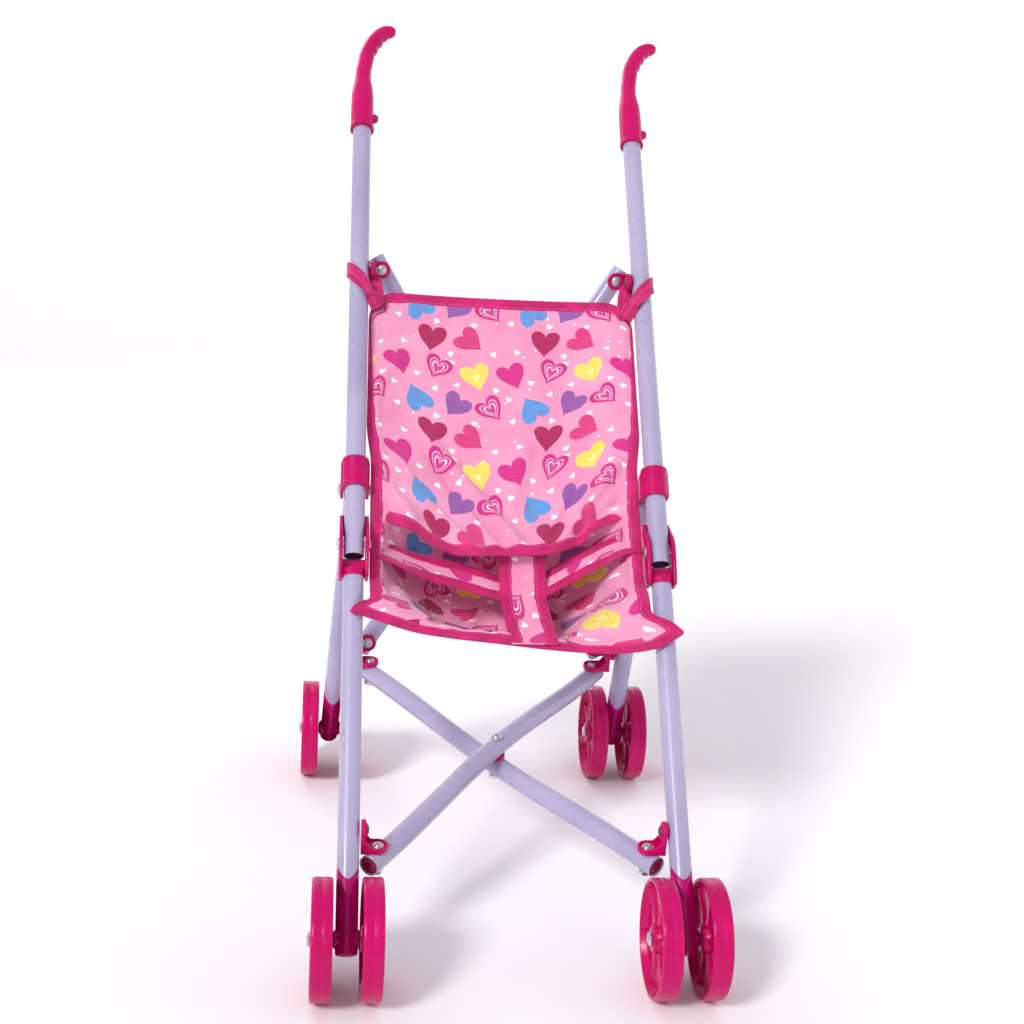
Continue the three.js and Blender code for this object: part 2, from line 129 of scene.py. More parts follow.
# ---------- mesh helpers ----------
def tidied(mesh):
    """The mesh with doubled points joined and its faces pointing out, smooth but for sharp edges."""
    bm = bmesh.new()
    bm.from_mesh(mesh)
    bmesh.ops.remove_doubles(bm, verts=bm.verts[:], dist=1e-6)
    bmesh.ops.recalc_face_normals(bm, faces=bm.faces[:])
    bm.to_mesh(mesh)
    bm.free()
    mesh.shade_smooth()
    mesh.set_sharp_from_angle(angle=math.radians(38))
    return mesh


def skin(rings, closed=False, caps=True):
    """A surface over rings of points that all have as many points."""
    count = len(rings[0])
    points = [p for ring in rings for p in ring]
    faces = []
    for i in range(len(rings) if closed else len(rings) - 1):
        a, b = i * count, ((i + 1) % len(rings)) * count
        for k in range(count):
            n = (k + 1) % count
            faces.append((a + k, a + n, b + n, b + k))
    if caps and not closed:
        faces.append(tuple(reversed(range(count))))
        faces.append(tuple(range((len(rings) - 1) * count, len(rings) * count)))
    mesh = bpy.data.meshes.new("skin")
    mesh.from_pydata(points, [], faces)
    return tidied(mesh)


def along_z(a, b, c):
    return Vector((a, b, c))


def along_x(a, b, c):
    return Vector((c, a, b))


def along_y(a, b, c):
    return Vector((a, c, b))


def rounded(corners, radius, steps=4):
    """A closed outline with its corners rounded off; radius is one size or one for each corner."""
    radii = radius if hasattr(radius, "__len__") else [radius] * len(corners)
    outline = []
    for i, (corner, r) in enumerate(zip(corners, radii)):
        p = Vector(corner)
        before, after = Vector(corners[i - 1]) - p, Vector(corners[(i + 1) % len(corners)]) - p
        if r <= 0:
            outline.append(p)
            continue
        half = before.angle(after) / 2
        reach = min(r / max(math.tan(half), 1e-3), 0.48 * before.length, 0.48 * after.length)
        start, end = p + before.normalized() * reach, p + after.normalized() * reach
        for k in range(steps + 1):
            t = k / steps
            outline.append(start * (1 - t) ** 2 + p * 2 * t * (1 - t) + end * t**2)
    return outline


def inset(outline, distance):
    """The outline moved inwards."""
    area = sum(a.x * b.y - b.x * a.y for a, b in zip(outline, outline[1:] + outline[:1]))
    turn = 1 if area > 0 else -1
    moved = []
    for i, p in enumerate(outline):
        before = (p - outline[i - 1]).normalized()
        after = (outline[(i + 1) % len(outline)] - p).normalized()
        inward = Vector((-before.y - after.y, before.x + after.x)) * turn
        share = max(0.35, (1 + before.dot(after)) / 2) ** 0.5
        moved.append(p + inward.normalized() * (distance / share))
    return moved


def prism(outline, low, high, edge=0.5 * MM, lay=along_z):
    """An outline made solid between two depths, with rounded edges."""
    outline = [Vector(p) for p in outline]
    rings = []
    for depth, way in ((low, 1), (high, -1)):
        turns = (0, 30, 60, 90) if way > 0 else (90, 60, 30, 0)
        for angle in map(math.radians, turns):
            shrunk = inset(outline, edge * (1 - math.sin(angle)))
            at = depth + way * edge * (1 - math.cos(angle))
            rings.append([lay(p.x, p.y, at) for p in shrunk])
    return skin(rings)


def lathe(profile, segments=48, lay=along_z, closed=False, centre_at=(0, 0)):
    """A profile of (radius, depth) turned about an axis; a closed one has a hole down its middle."""
    rings = []
    for radius, depth in profile:
        angles = [2 * math.pi * k / segments for k in range(segments)]
        rings.append([
            lay(centre_at[0] + radius * math.cos(a), centre_at[1] + radius * math.sin(a), depth)
            for a in angles
        ])
    return skin(rings, closed=closed, caps=not closed)


def sweep(points, sections):
    """A skin whose ring at each point is that point's section, given as offsets."""
    return skin([[p + offset for offset in section] for p, section in zip(points, sections)])


def holder(mesh, name="part"):
    obj = bpy.data.objects.new(name, mesh)
    bpy.context.scene.collection.objects.link(obj)
    return obj


def fused(meshes, holes=()):
    """One closed mesh from several that overlap, with the holes cut out of it."""
    base = holder(meshes[0].copy())
    tools = [(holder(m), "UNION") for m in meshes[1:]] + [(holder(m), "DIFFERENCE") for m in holes]
    for tool, operation in tools:
        cut = base.modifiers.new("cut", "BOOLEAN")
        cut.object = tool
        cut.operation = operation
        cut.solver = "EXACT"
    bpy.context.view_layer.update()
    made = bpy.data.meshes.new_from_object(base.evaluated_get(bpy.context.evaluated_depsgraph_get()))
    for obj in [base] + [tool for tool, _ in tools]:
        bpy.data.objects.remove(obj)
    return tidied(made)


def lined(mesh, radius):
    """Gives a tube's inner wall the second material, a dark colour that paints the shade inside the open tube end.
    """
    for face in mesh.polygons:
        if math.hypot(face.center.x, face.center.y) < radius + 0.1 * MM and abs(face.normal.z) < 0.5:
            face.material_index = 1
    return mesh


def piece(name, mesh, where, body, material, replaces=()):
    """A finished piece: its mesh goes to its place, and it rides on its body."""
    mesh.transform(where)
    obj = holder(mesh, name)
    mesh.name = name
    mesh.materials.append(material)
    # Painted tubes get a second slot: a dark colour that paints the shade seen inside a tube's bore.
    mesh.materials.append(PAINTED_SHADE_BORE if material == PAINT else material)
    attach(obj, body)
    if replaces:
        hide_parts(*replaces)
    return obj


# ---------- materials ----------
def linear(red, green, blue):
    """A colour given as the eye reads it, 0 to 255, as Blender wants it."""
    def one(c):
        c /= 255
        return c / 12.92 if c <= 0.04045 else ((c + 0.055) / 1.055) ** 2.4
    return one(red), one(green), one(blue), 1


def new_material(name, roughness, **sockets):
    material = bpy.data.materials.new(name)
    material.use_nodes = True
    tree = material.node_tree
    shader = tree.nodes["Principled BSDF"]
    shader.inputs["Roughness"].default_value = roughness
    for key, value in sockets.items():
        shader.inputs[key.replace("_", " ")].default_value = value
    return material, tree, shader


def node(tree, kind, inputs=(), **settings):
    """A node with its settings, and its inputs given as (name or number, value or socket)."""
    made = tree.nodes.new("ShaderNode" + kind)
    for key, value in settings.items():
        setattr(made, key, value)
    for key, value in inputs:
        if isinstance(value, bpy.types.NodeSocket):
            tree.links.new(value, made.inputs[key])
        else:
            made.inputs[key].default_value = value
    return made


def maths(tree, operation, *values):
    return node(tree, "Math", list(enumerate(values)), operation=operation).outputs[0]


def spread(tree, value, low, high, to_low=0.0, to_high=1.0, smooth=True):
    """The value's stretch from low to high, as a share between two others."""
    made = node(tree, "MapRange", [
        ("Value", value), ("From Min", low), ("From Max", high), ("To Min", to_low), ("To Max", to_high),
    ])
    made.interpolation_type = "SMOOTHSTEP" if smooth else "LINEAR"
    return made.outputs["Result"]


def mixed(tree, share, first, second, blend="MIX"):
    made = node(tree, "Mix", data_type="RGBA", blend_type=blend)
    for socket, value in ((made.inputs[0], share), (made.inputs[6], first), (made.inputs[7], second)):
        if isinstance(value, bpy.types.NodeSocket):
            tree.links.new(value, socket)
        else:
            socket.default_value = value
    return made.outputs[2]


def noise_at(tree, scale, detail=3.0, stretch=None, source="Object"):
    place = node(tree, "TexCoord").outputs[source]
    if stretch:
        place = node(tree, "VectorMath", [(0, place), (1, stretch)], operation="MULTIPLY").outputs[0]
    return node(tree, "TexNoise", [("Vector", place), ("Scale", scale), ("Detail", detail)]).outputs["Fac"]


def bump(tree, shader, height, strength, distance):
    made = node(tree, "Bump", [("Height", height), ("Strength", strength), ("Distance", distance)])
    tree.links.new(made.outputs["Normal"], shader.inputs["Normal"])


def paint_material():
    """White powder paint with a lavender cast: orange peel, faint scuffs and dull patches."""
    material, tree, shader = new_material("frame_paint", 0.3, Coat_Weight=0.35, Coat_Roughness=0.15)
    cloud = noise_at(tree, 14)
    base = mixed(tree, spread(tree, cloud, 0.35, 0.65), linear(164, 156, 189), linear(176, 168, 200))
    scuff = spread(tree, noise_at(tree, 160, 6, (1, 1, 0.25)), 0.66, 0.72)
    base = mixed(tree, maths(tree, "MULTIPLY", scuff, 0.35), base, linear(138, 126, 158))
    tree.links.new(base, shader.inputs["Base Color"])
    tree.links.new(spread(tree, noise_at(tree, 40), 0.3, 0.7, 0.22, 0.4), shader.inputs["Roughness"])
    bump(tree, shader, noise_at(tree, 900, 2), 0.12, 0.0002)
    return material


def plastic_material(name, colour, deep, gloss=0.24):
    """Moulded plastic: flow clouds, a fine mould grain and rubbed, paler patches."""
    material, tree, shader = new_material(name, gloss, Coat_Weight=0.06, Coat_Roughness=0.1, Specular_IOR_Level=0.2)
    flow = spread(tree, noise_at(tree, 45, 4, (1, 1, 0.5)), 0.3, 0.7)
    base = mixed(tree, flow, linear(*deep), linear(*colour))
    rub = spread(tree, noise_at(tree, 260, 5), 0.64, 0.74)
    base = mixed(tree, maths(tree, "MULTIPLY", rub, 0.14), base, linear(232, 60, 150))
    tree.links.new(base, shader.inputs["Base Color"])
    rough = spread(tree, noise_at(tree, 80, 4), 0.3, 0.7, gloss - 0.06, gloss + 0.14)
    tree.links.new(rough, shader.inputs["Roughness"])
    bump(tree, shader, noise_at(tree, 1500, 3), 0.1, 0.00015)
    return material


def steel_material(name, colour, roughness):
    """Zinc-plated steel: brushed, with dull spots."""
    material, tree, shader = new_material(name, roughness, Metallic=0.95)
    spots = spread(tree, noise_at(tree, 420, 5), 0.45, 0.7)
    pale = tuple(c * 1.15 for c in colour)
    tree.links.new(mixed(tree, spots, linear(*pale), linear(*colour)), shader.inputs["Base Color"])
    scratch = noise_at(tree, 300, 4, (6, 1, 1))
    tree.links.new(spread(tree, scratch, 0.3, 0.7, roughness - 0.08, roughness + 0.15),
                   shader.inputs["Roughness"])
    bump(tree, shader, scratch, 0.15, 0.0001)
    return material


# The print: one repeat of plain hearts, each (across, along, turn in degrees, half width, colouring)
TILE = (84 * MM, 80 * MM)
HEARTS = [
    (9, 67, -22, 10.6, "magenta"), (37, 70, 24, 10.0, "ringed"), (66, 65, -16, 10.6, "yellow"),
    (22, 42, 150, 10.6, "blue"), (50, 40, 34, 10.2, "purple"), (77, 39, -38, 10.0, "ringed"),
    (33, 14, 6, 10.6, "crimson"), (62, 14, -52, 10.2, "rose"),
]
SMALL_HEARTS = [
    (22, 62, 20), (52, 58, -30), (80, 55, 10), (8, 30, -15), (36, 29, 35), (64, 27, 12), (48, 76, 5),
    (12, 8, 28), (79, 5, -25), (5, 48, 15), (47, 3, -10), (36, 52, -35),
]
INKS = {
    "magenta": (222, 40, 140), "rose": (226, 60, 130), "crimson": (178, 22, 84), "blue": (84, 160, 226),
    "purple": (150, 92, 172), "yellow": (250, 222, 84), "ringed": (214, 36, 134),
}
GROUND = (236, 142, 182)


def heart_group():
    """A node group: how far a place is from a heart's middle, with 1 on its outline."""
    group = bpy.data.node_groups.new("heart", "ShaderNodeTree")
    for name, kind in (("Place", "Vector"), ("Centre", "Vector"), ("Turn", "Float"), ("Size", "Float")):
        group.interface.new_socket(name, in_out="INPUT", socket_type="NodeSocket" + kind)
    group.interface.new_socket("Reach", in_out="OUTPUT", socket_type="NodeSocketFloat")
    source = group.nodes.new("NodeGroupInput")
    result = group.nodes.new("NodeGroupOutput")
    away = node(group, "VectorMath", [(0, source.outputs["Place"]), (1, source.outputs["Centre"])],
                operation="SUBTRACT").outputs[0]
    half = (TILE[0] / 2, TILE[1] / 2, 1)
    near = node(group, "VectorMath", [(0, away), (1, half), (2, tuple(-h for h in half))],
                operation="WRAP").outputs[0]
    turned = node(group, "VectorRotate", [("Vector", near), ("Angle", source.outputs["Turn"])],
                  rotation_type="Z_AXIS").outputs[0]
    parts = node(group, "SeparateXYZ", [(0, turned)])
    x = maths(group, "DIVIDE", parts.outputs[0], source.outputs["Size"])
    y = maths(group, "DIVIDE", parts.outputs[1], source.outputs["Size"])
    lobe = maths(group, "SQRT", maths(group, "ABSOLUTE", x))
    drop = maths(group, "SUBTRACT", maths(group, "MULTIPLY", maths(group, "ADD", y, 0.22), 1.22), lobe)
    squares = maths(group, "ADD", maths(group, "MULTIPLY", x, x), maths(group, "MULTIPLY", drop, drop))
    group.links.new(maths(group, "SQRT", squares), result.inputs["Reach"])
    return group


def heart_reach(tree, group, place, across, along, turn, size):
    made = tree.nodes.new("ShaderNodeGroup")
    made.node_tree = group
    tree.links.new(place, made.inputs["Place"])
    made.inputs["Centre"].default_value = (across * MM, along * MM, 0)
    made.inputs["Turn"].default_value = math.radians(turn)
    made.inputs["Size"].default_value = size * MM
    return made.outputs["Reach"]


def banded(tree, value, bands):
    """A colour by bands: (where each starts, its colour)."""
    ramp = node(tree, "ValToRGB", [("Fac", value)])
    ramp.color_ramp.interpolation = "CONSTANT"
    stops = ramp.color_ramp.elements
    while len(stops) < len(bands):
        stops.new(1)
    for stop, (start, colour) in zip(stops, bands):
        stop.position = start
        stop.color = linear(*colour)
    return ramp.outputs["Color"]


def weave(tree, shader, place, pitch, strength):
    """Threads over and under in both directions."""
    parts = node(tree, "SeparateXYZ", [(0, place)])
    waves = [
        maths(tree, "SINE", maths(tree, "MULTIPLY", parts.outputs[k], 2 * math.pi / pitch)) for k in (0, 1)
    ]
    rough = noise_at(tree, 900, 3, source="UV")
    height = maths(tree, "ADD", maths(tree, "MULTIPLY", waves[0], waves[1]), rough)
    bump(tree, shader, height, strength, 0.00025)


def print_material():
    """Woven polyester with the heart print, its threads showing through the ink."""
    material, tree, shader = new_material("printed_fabric", 0.82, Sheen_Weight=0.25, Sheen_Roughness=0.5)
    place = node(tree, "TexCoord").outputs["UV"]
    group = heart_group()
    cloud = spread(tree, noise_at(tree, 22, 3, source="UV"), 0.3, 0.7)
    colour = mixed(tree, cloud, linear(*GROUND), linear(243, 162, 196))
    dots = node(tree, "TexVoronoi", [("Vector", place), ("Scale", 118.0), ("Randomness", 0.8)])
    colour = mixed(tree, spread(tree, dots.outputs["Distance"], 0.13, 0.1), colour, linear(252, 244, 250))
    for across, along, turn in SMALL_HEARTS:
        reach = heart_reach(tree, group, place, across, along, turn, 2.3)
        colour = mixed(tree, spread(tree, reach, 1.08, 0.92), colour, linear(253, 246, 251))
    streak = noise_at(tree, 1, 4, (90, 1500, 1), "UV")
    wear = spread(tree, streak, 0.46, 0.64, 0, 0.5)
    for across, along, turn, size, kind in HEARTS:
        reach = heart_reach(tree, group, place, across, along, turn, size)
        ink = linear(*INKS[kind])
        if kind == "ringed":
            ink = banded(tree, reach, [(0, (222, 60, 150)), (0.36, (252, 236, 246)), (0.47, (222, 40, 140)),
                                       (0.6, (248, 176, 208)), (0.7, INKS[kind])])
        if kind == "yellow":
            ink = banded(tree, reach, [(0, (252, 238, 150)), (0.3, (238, 200, 60)), (0.42, INKS[kind]),
                                       (0.62, (240, 204, 64)), (0.7, INKS[kind])])
        worn = mixed(tree, wear, ink, linear(150, 50, 110) if kind != "yellow" else linear(250, 236, 160))
        edge = maths(tree, "ADD", reach, maths(tree, "MULTIPLY", maths(tree, "SUBTRACT", streak, 0.5), 0.12))
        colour = mixed(tree, spread(tree, edge, 1.03, 0.97), colour, worn)
    tree.links.new(colour, shader.inputs["Base Color"])
    weave(tree, shader, place, 0.9 * MM, 0.3)
    return material


def reverse_material():
    """The unprinted back of the cloth, with the pink showing through a little."""
    material, tree, shader = new_material("cloth_reverse", 0.88, Sheen_Weight=0.2)
    cloud = spread(tree, noise_at(tree, 60, 4, source="UV"), 0.3, 0.7)
    tree.links.new(mixed(tree, cloud, linear(243, 221, 231), linear(247, 230, 238)), shader.inputs["Base Color"])
    weave(tree, shader, node(tree, "TexCoord").outputs["UV"], 0.9 * MM, 0.35)
    return material


BIND_WIDTH = 8.4 * MM


def binding_material():
    """Folded bias tape: a fine diagonal rib, puckers, and a row of stitches near its inner edge."""
    material, tree, shader = new_material("binding_fabric", 0.7, Sheen_Weight=0.3, Sheen_Roughness=0.4)
    place = node(tree, "TexCoord").outputs["UV"]
    parts = node(tree, "SeparateXYZ", [(0, place)])
    run, across = parts.outputs[0], parts.outputs[1]
    cloud = spread(tree, noise_at(tree, 70, 4, source="UV"), 0.3, 0.7)
    base = mixed(tree, cloud, linear(178, 0, 88), linear(212, 8, 116))
    beside = maths(tree, "ABSOLUTE", maths(tree, "SUBTRACT", across, BIND_WIDTH * 0.78))
    row = spread(tree, beside, 0.42 * MM, 0.22 * MM)
    dash = maths(tree, "FRACT", maths(tree, "DIVIDE", run, 2.8 * MM))
    thread = maths(tree, "MULTIPLY", row, spread(tree, dash, 0.72, 0.66))
    tree.links.new(mixed(tree, thread, base, linear(236, 70, 150)), shader.inputs["Base Color"])
    rib = maths(tree, "SINE", maths(tree, "MULTIPLY", maths(tree, "ADD", run, across), 2 * math.pi / 0.0008))
    pucker = maths(tree, "SINE", maths(tree, "MULTIPLY", run, 2 * math.pi / 0.0056))
    height = maths(tree, "ADD", maths(tree, "MULTIPLY", rib, 0.25), maths(tree, "MULTIPLY", pucker, 0.3))
    bump(tree, shader, maths(tree, "ADD", height, thread), 0.45, 0.0003)
    return material


PAINT = paint_material()
PINK = plastic_material("pink_plastic", (202, 0, 101), (186, 0, 91))
PLUG = plastic_material("foot_plastic", (194, 0, 118), (168, 0, 100), 0.2)
DARK = plastic_material("dark_plastic", (150, 10, 62), (120, 4, 46), 0.35)
# Painted shade: a dark lilac for the inside of an open tube end, standing in for the shadow there.
PAINTED_SHADE_BORE = plastic_material("tube_bore_painted_shade", (120, 84, 130), (70, 40, 84), 0.6)
STEEL = steel_material("steel", (186, 186, 192), 0.26)
SCREW = steel_material("dark_steel", (96, 92, 98), 0.4)
PRINT = print_material()
REVERSE = reverse_material()
BINDING = binding_material()


# ---------- fasteners ----------
def cross_recess(top, lay, centre_at=(0, 0)):
    """Two crossed slots that are cut into a screw head."""
    slots = []
    for wide, tall in ((2.1 * MM, 0.45 * MM), (0.45 * MM, 2.1 * MM)):
        a, b = centre_at
        outline = [(a - wide, b - tall), (a + wide, b - tall), (a + wide, b + tall), (a - wide, b + tall)]
        slots.append(prism(outline, top - 1.1 * MM, top + 1 * MM, 0.05 * MM, lay))
    return slots


def pan_head(radius, low, height, lay=along_z, centre_at=(0, 0)):
    """A domed screw head with a cross recess; height is negative for a head that points the other way."""
    profile = [(0, low)]
    profile += [(radius, low), (radius, low + height * 0.35)]
    for k in range(1, 8):
        angle = k / 7 * math.pi / 2
        profile.append((radius * math.cos(angle), low + height * (0.35 + 0.65 * math.sin(angle))))
    head = lathe(profile, 32, lay, centre_at=centre_at)
    top = low + height
    if height < 0:
        slots = cross_recess(top + 0.1 * MM, lay, centre_at)
    else:
        slots = cross_recess(top, lay, centre_at)
    return fused([head], slots)


def rod(radius, low, high, lay=along_z, centre_at=(0, 0), edge=0.3 * MM, segments=32):
    profile = [(0, low), (radius - edge, low), (radius, low + edge), (radius, high - edge)]
    profile += [(radius - edge, high), (0, high)]
    return lathe(profile, segments, lay, centre_at=centre_at)


def bolt(head_low, nut_high, head_radius=3.2 * MM):
    """A bolt along Z: pan head on a washer at the top, hexagon nut and shank end at the bottom."""
    end, nut_low, segments = nut_high - 3.9 * MM, nut_high - 2.9 * MM, 36
    shank, wide, washer, height = 2 * MM, 3.9 * MM, 0.5 * MM, 1.6 * MM
    levels = [
        (0, end, 0), (shank - 0.3 * MM, end, 0), (shank, end + 0.3 * MM, 0), (shank, nut_low, 0),
        (wide - 0.4 * MM, nut_low, 1), (wide, nut_low + 0.4 * MM, 1), (wide, nut_high - 0.4 * MM, 1),
        (wide - 0.4 * MM, nut_high, 1), (shank, nut_high, 0), (shank, head_low, 0),
        (head_radius + 0.8 * MM, head_low, 0), (head_radius + 0.8 * MM, head_low + washer, 0),
        (head_radius, head_low + washer, 0),
    ]
    for k in range(7):
        angle = k / 7 * math.pi / 2
        rise = washer + height * (0.35 + 0.65 * math.sin(angle))
        levels.append((head_radius * math.cos(angle), head_low + rise, 0))
    top = head_low + washer + height
    levels.append((0, top, 0))
    rings = []
    for radius, z, flats in levels:
        ring = []
        for k in range(segments):
            angle = 2 * math.pi * k / segments
            side_share = math.cos(math.pi / 6) / math.cos(angle % (math.pi / 3) - math.pi / 6)
            reach = radius * (side_share if flats else 1)
            ring.append(Vector((reach * math.cos(angle), reach * math.sin(angle), z)))
        rings.append(ring)
    return fused([skin(rings)], cross_recess(top, along_z))


def rivet(half):
    """A rivet across both cheeks, with a domed head on each side."""
    head = [(half, 0), (half + 0.2 * MM, 4.2 * MM), (half + 0.9 * MM, 4.1 * MM), (half + 1.6 * MM, 2.8 * MM)]
    profile = [(0, -half - 2 * MM), (1.4 * MM, -half - 1.9 * MM)]
    profile += [(r, -depth) for depth, r in reversed(head) if r > 0]
    profile += [(4.2 * MM, -half), (2 * MM, -half), (2 * MM, half), (4.2 * MM, half)]
    profile += [(r, depth) for depth, r in head if r > 0]
    profile += [(1.4 * MM, half + 1.9 * MM), (0, half + 2 * MM)]
    return lathe(profile, 32, along_x)


# ---------- wheels ----------
def wheel_mesh():
    """A moulded wheel: wide rim with thin walls, six ribs on a recessed web, and a hub."""
    segments, ribs = 216, 6
    web, rib_high, rib_half = 1.4 * MM, 3.4 * MM, 2.1 * MM
    half = WHEEL_HALF
    outside = [(2.4, half), (7.2, half), (8.6, half - 1.2 * MM), (9.2, web + 0.8 * MM)]
    near = [(r * MM, z) for r, z in outside]
    span = [9.9 * MM + k * (33.6 - 9.9) / 5 * MM for k in range(6)]
    web_points = [(r, None) for r in span]
    rim = [(34.4 * MM, web + 0.9 * MM), (34.9 * MM, half - 0.8 * MM), (35.3 * MM, half - 0.15 * MM)]
    rim += [(36.0 * MM, half), (WHEEL_R - 0.7 * MM, half - 0.15 * MM), (WHEEL_R - 0.15 * MM, half - 0.8 * MM)]
    rim += [(WHEEL_R, half - 1.6 * MM), (WHEEL_R, 0.5 * MM), (WHEEL_R - 0.12 * MM, 0.25 * MM)]
    upper = near + web_points + rim
    profile = [(r, z, 1) for r, z in upper] + [(r, z, -1) for r, z in reversed(upper)]
    rings = []
    for radius, depth, way in profile:
        ring = []
        for k in range(segments):
            angle = 2 * math.pi * k / segments
            z = depth
            if z is None:
                turn = (angle + math.pi / ribs) % (2 * math.pi / ribs) - math.pi / ribs
                share = min(1, max(0, (rib_half - abs(radius * math.sin(turn))) / (0.9 * MM)))
                z = web + (rib_high - web) * share * share * (3 - 2 * share)
            ring.append(along_x(radius * math.cos(angle), radius * math.sin(angle), way * z))
        rings.append(ring)
    return skin(rings, closed=True)


def build_wheels():
    mesh = wheel_mesh()
    for end in ("front", "rear"):
        for x in (LEFT, RIGHT):
            for which in ("outer", "inner"):
                name = f"wheel_{end}_{side(x)}_{which}"
                turn = Matrix.Rotation(0.35 * len(name) + x, 4, "X")
                where = Matrix.Translation(centre(name)) @ turn
                piece(f"{name}_moulded", mesh.copy(), where, name, PINK, [name])


def axle_mesh():
    """A steel rod with a domed push-on cap at each end."""
    end = WHEEL_OFFSET + WHEEL_HALF + GAP
    cap = [(4.4 * MM, 0), (4.5 * MM, 0.5 * MM), (4 * MM, 1.2 * MM), (2.6 * MM, 1.8 * MM), (0, 2 * MM)]
    profile = [(r, -end - depth) for r, depth in reversed(cap)]
    profile += [(2 * MM, -end), (2 * MM, end)]
    profile += [(r, end + depth) for r, depth in cap]
    return lathe(profile, 32, along_x)


SCALLOP = 4.5 * MM


def scallop(angle):
    """The line where a foot plug meets its tube: high at the sides, low at front and back."""
    return FOOT_TOP + SCALLOP * math.cos(2 * angle)


def foot_mesh():
    """A foot plug: closed round end, a saddle-shaped top edge, and a hub stub on each side."""
    segments = 56
    rings = []
    shoulder = [(0, -10), (4.4, -10), (6.3, -9.5), (6.9, -8.4), (7, -7), (7, 10), (7, 20), (7, 28)]
    for radius, z in shoulder:
        rings.append([(radius * MM, z * MM, 0)] * segments)
    for radius, drop in ((7, 1.2), (6.9, 0.3), (6.5, 0)):
        rings.append([(radius * MM, -drop * MM, 1)] * segments)
    for radius, z in ((5.7, 50), (5.2, 53), (0, 53)):
        rings.append([(radius * MM, z * MM, 0)] * segments)
    shaped = []
    for ring in rings:
        points = []
        for k, (radius, z, follows) in enumerate(ring):
            angle = 2 * math.pi * k / segments
            height = z + (scallop(angle) - 0.3 * MM if follows else 0)
            points.append(Vector((radius * math.cos(angle), radius * math.sin(angle), height)))
        shaped.append(points)
    stub = WHEEL_OFFSET - WHEEL_HALF - GAP
    hub = rod(4.4 * MM, -stub, stub, along_x, edge=0.5 * MM)
    collar = rod(5.6 * MM, -8.2 * MM, 8.2 * MM, along_x, edge=0.5 * MM)
    return fused([skin(shaped), hub, collar])


def tilt_to(aim):
    return Vector((0, 0, 1)).rotation_difference(aim).to_matrix().to_4x4()


# ---------- tubes ----------
def tube_mesh(low, high, outer=TUBE_R, bore=BORE_R, lower_edge=None):
    """A hollow tube along Z with softened ends; lower_edge shapes its lower end by the angle."""
    lip = 0.35 * MM
    profile = [
        (bore, 1, lip), (bore + lip, 1, 0), (outer - lip, 1, 0), (outer, 1, lip), (outer, 1, 12 * MM),
        (outer, 0, -lip), (outer - lip, 0, 0), (bore + lip, 0, 0), (bore, 0, -lip),
    ]
    segments = 56
    rings = []
    for radius, is_low, offset in profile:
        ring = []
        for k in range(segments):
            angle = 2 * math.pi * k / segments
            start = lower_edge(angle) if lower_edge else low
            z = start + offset if is_low else high + offset
            ring.append(Vector((radius * math.cos(angle), radius * math.sin(angle), z)))
        rings.append(ring)
    return skin(rings, closed=True)


def bow_at(share, bow):
    return bow * (1 + math.cos(2 * math.pi * share)) / 2


def bar_mesh(span, reach, bow, lean):
    """A cross bar: a hollow tube that bows where it passes the other one."""
    half = math.hypot(span, reach) / 2
    ways = Vector((lean * span, reach, 0)).normalized()
    across = Vector((0, 0, 1)).cross(ways)
    steps, segments = 72, 40

    def at(u):
        share = max(-0.5, min(0.5, u / (2 * half)))
        return ways * u + Vector((0, 0, bow_at(share, bow)))

    length = half + BAR_END
    stops = [-length, -length + 0.3 * MM] + [-length + (k + 0.5) * 2 * length / steps for k in range(steps)]
    stops += [length - 0.3 * MM, length]
    outside, inside = [], []
    for i, u in enumerate(stops):
        tangent = (at(u + 0.5 * MM) - at(u - 0.5 * MM)).normalized()
        up = tangent.cross(across).normalized()
        at_end = i in (0, len(stops) - 1)
        for rings, radius in ((outside, TUBE_R - (0.3 * MM if at_end else 0)),
                              (inside, BORE_R + (0.3 * MM if at_end else 0))):
            rings.append([
                at(u) + across * radius * math.cos(a) + up * radius * math.sin(a)
                for a in (2 * math.pi * k / segments for k in range(segments))
            ])
    return skin(outside + inside[::-1], closed=True)


# ---------- moulded fittings ----------
def bracket_mesh(inward, face, shows_screw):
    """An L-shaped bracket: a plate against the leg, a lug on the bar with a raised rim, and a web."""
    low = TUBE_R + GAP
    high = low + PLATE
    half = 6.5 * MM
    outer = -inward * face
    inner = outer + inward * PLATE

    def lug_outline(shrink, reach):
        points = [Vector((reach, -half + shrink)), Vector((0, -half + shrink))]
        for k in range(1, 12):
            angle = -math.pi / 2 + math.pi * k / 12
            points.append(Vector((inward * (half - shrink) * math.cos(angle), (half - shrink) * math.sin(angle))))
        return points + [Vector((0, half - shrink)), Vector((reach, half - shrink))]

    lug = prism(lug_outline(0, outer), low, high - 0.6 * MM, 0.5 * MM)
    rim = prism(lug_outline(0, outer), high - 1.4 * MM, high + 0.6 * MM, 0.5 * MM)
    tray = prism(lug_outline(1.3 * MM, inner + inward * 1.6 * MM), high - 0.7 * MM, high + 2 * MM, 0.1 * MM)
    tongue = [Vector((-half, low)), Vector((half, low))]
    tongue += [
        Vector((half * math.cos(math.pi * k / 14), SCREW_RISE + half * math.sin(math.pi * k / 14)))
        for k in range(15)
    ]
    plate = prism(tongue, min(outer, inner), max(outer, inner), 0.7 * MM, along_x)
    foot = inner - inward * 0.5 * MM
    gusset = [(foot, high - 0.8 * MM), (foot + inward * 5.5 * MM, high - 0.8 * MM), (foot, high + 6 * MM)]
    webs = [
        prism(rounded(gusset, [0, 0.8 * MM, 0.8 * MM], 3), y - 0.8 * MM, y + 0.8 * MM, 0.3 * MM, along_y)
        for y in (-5.2 * MM, 5.2 * MM)
    ]
    boss = []
    if shows_screw:
        reach = sorted((inner - inward * 0.5 * MM, inner + inward * 0.8 * MM))
        boss = [rod(4.4 * MM, *reach, along_x, (0, SCREW_RISE), 0.3 * MM)]
    return fused([lug, rim, plate, *webs, *boss], [tray]), inner


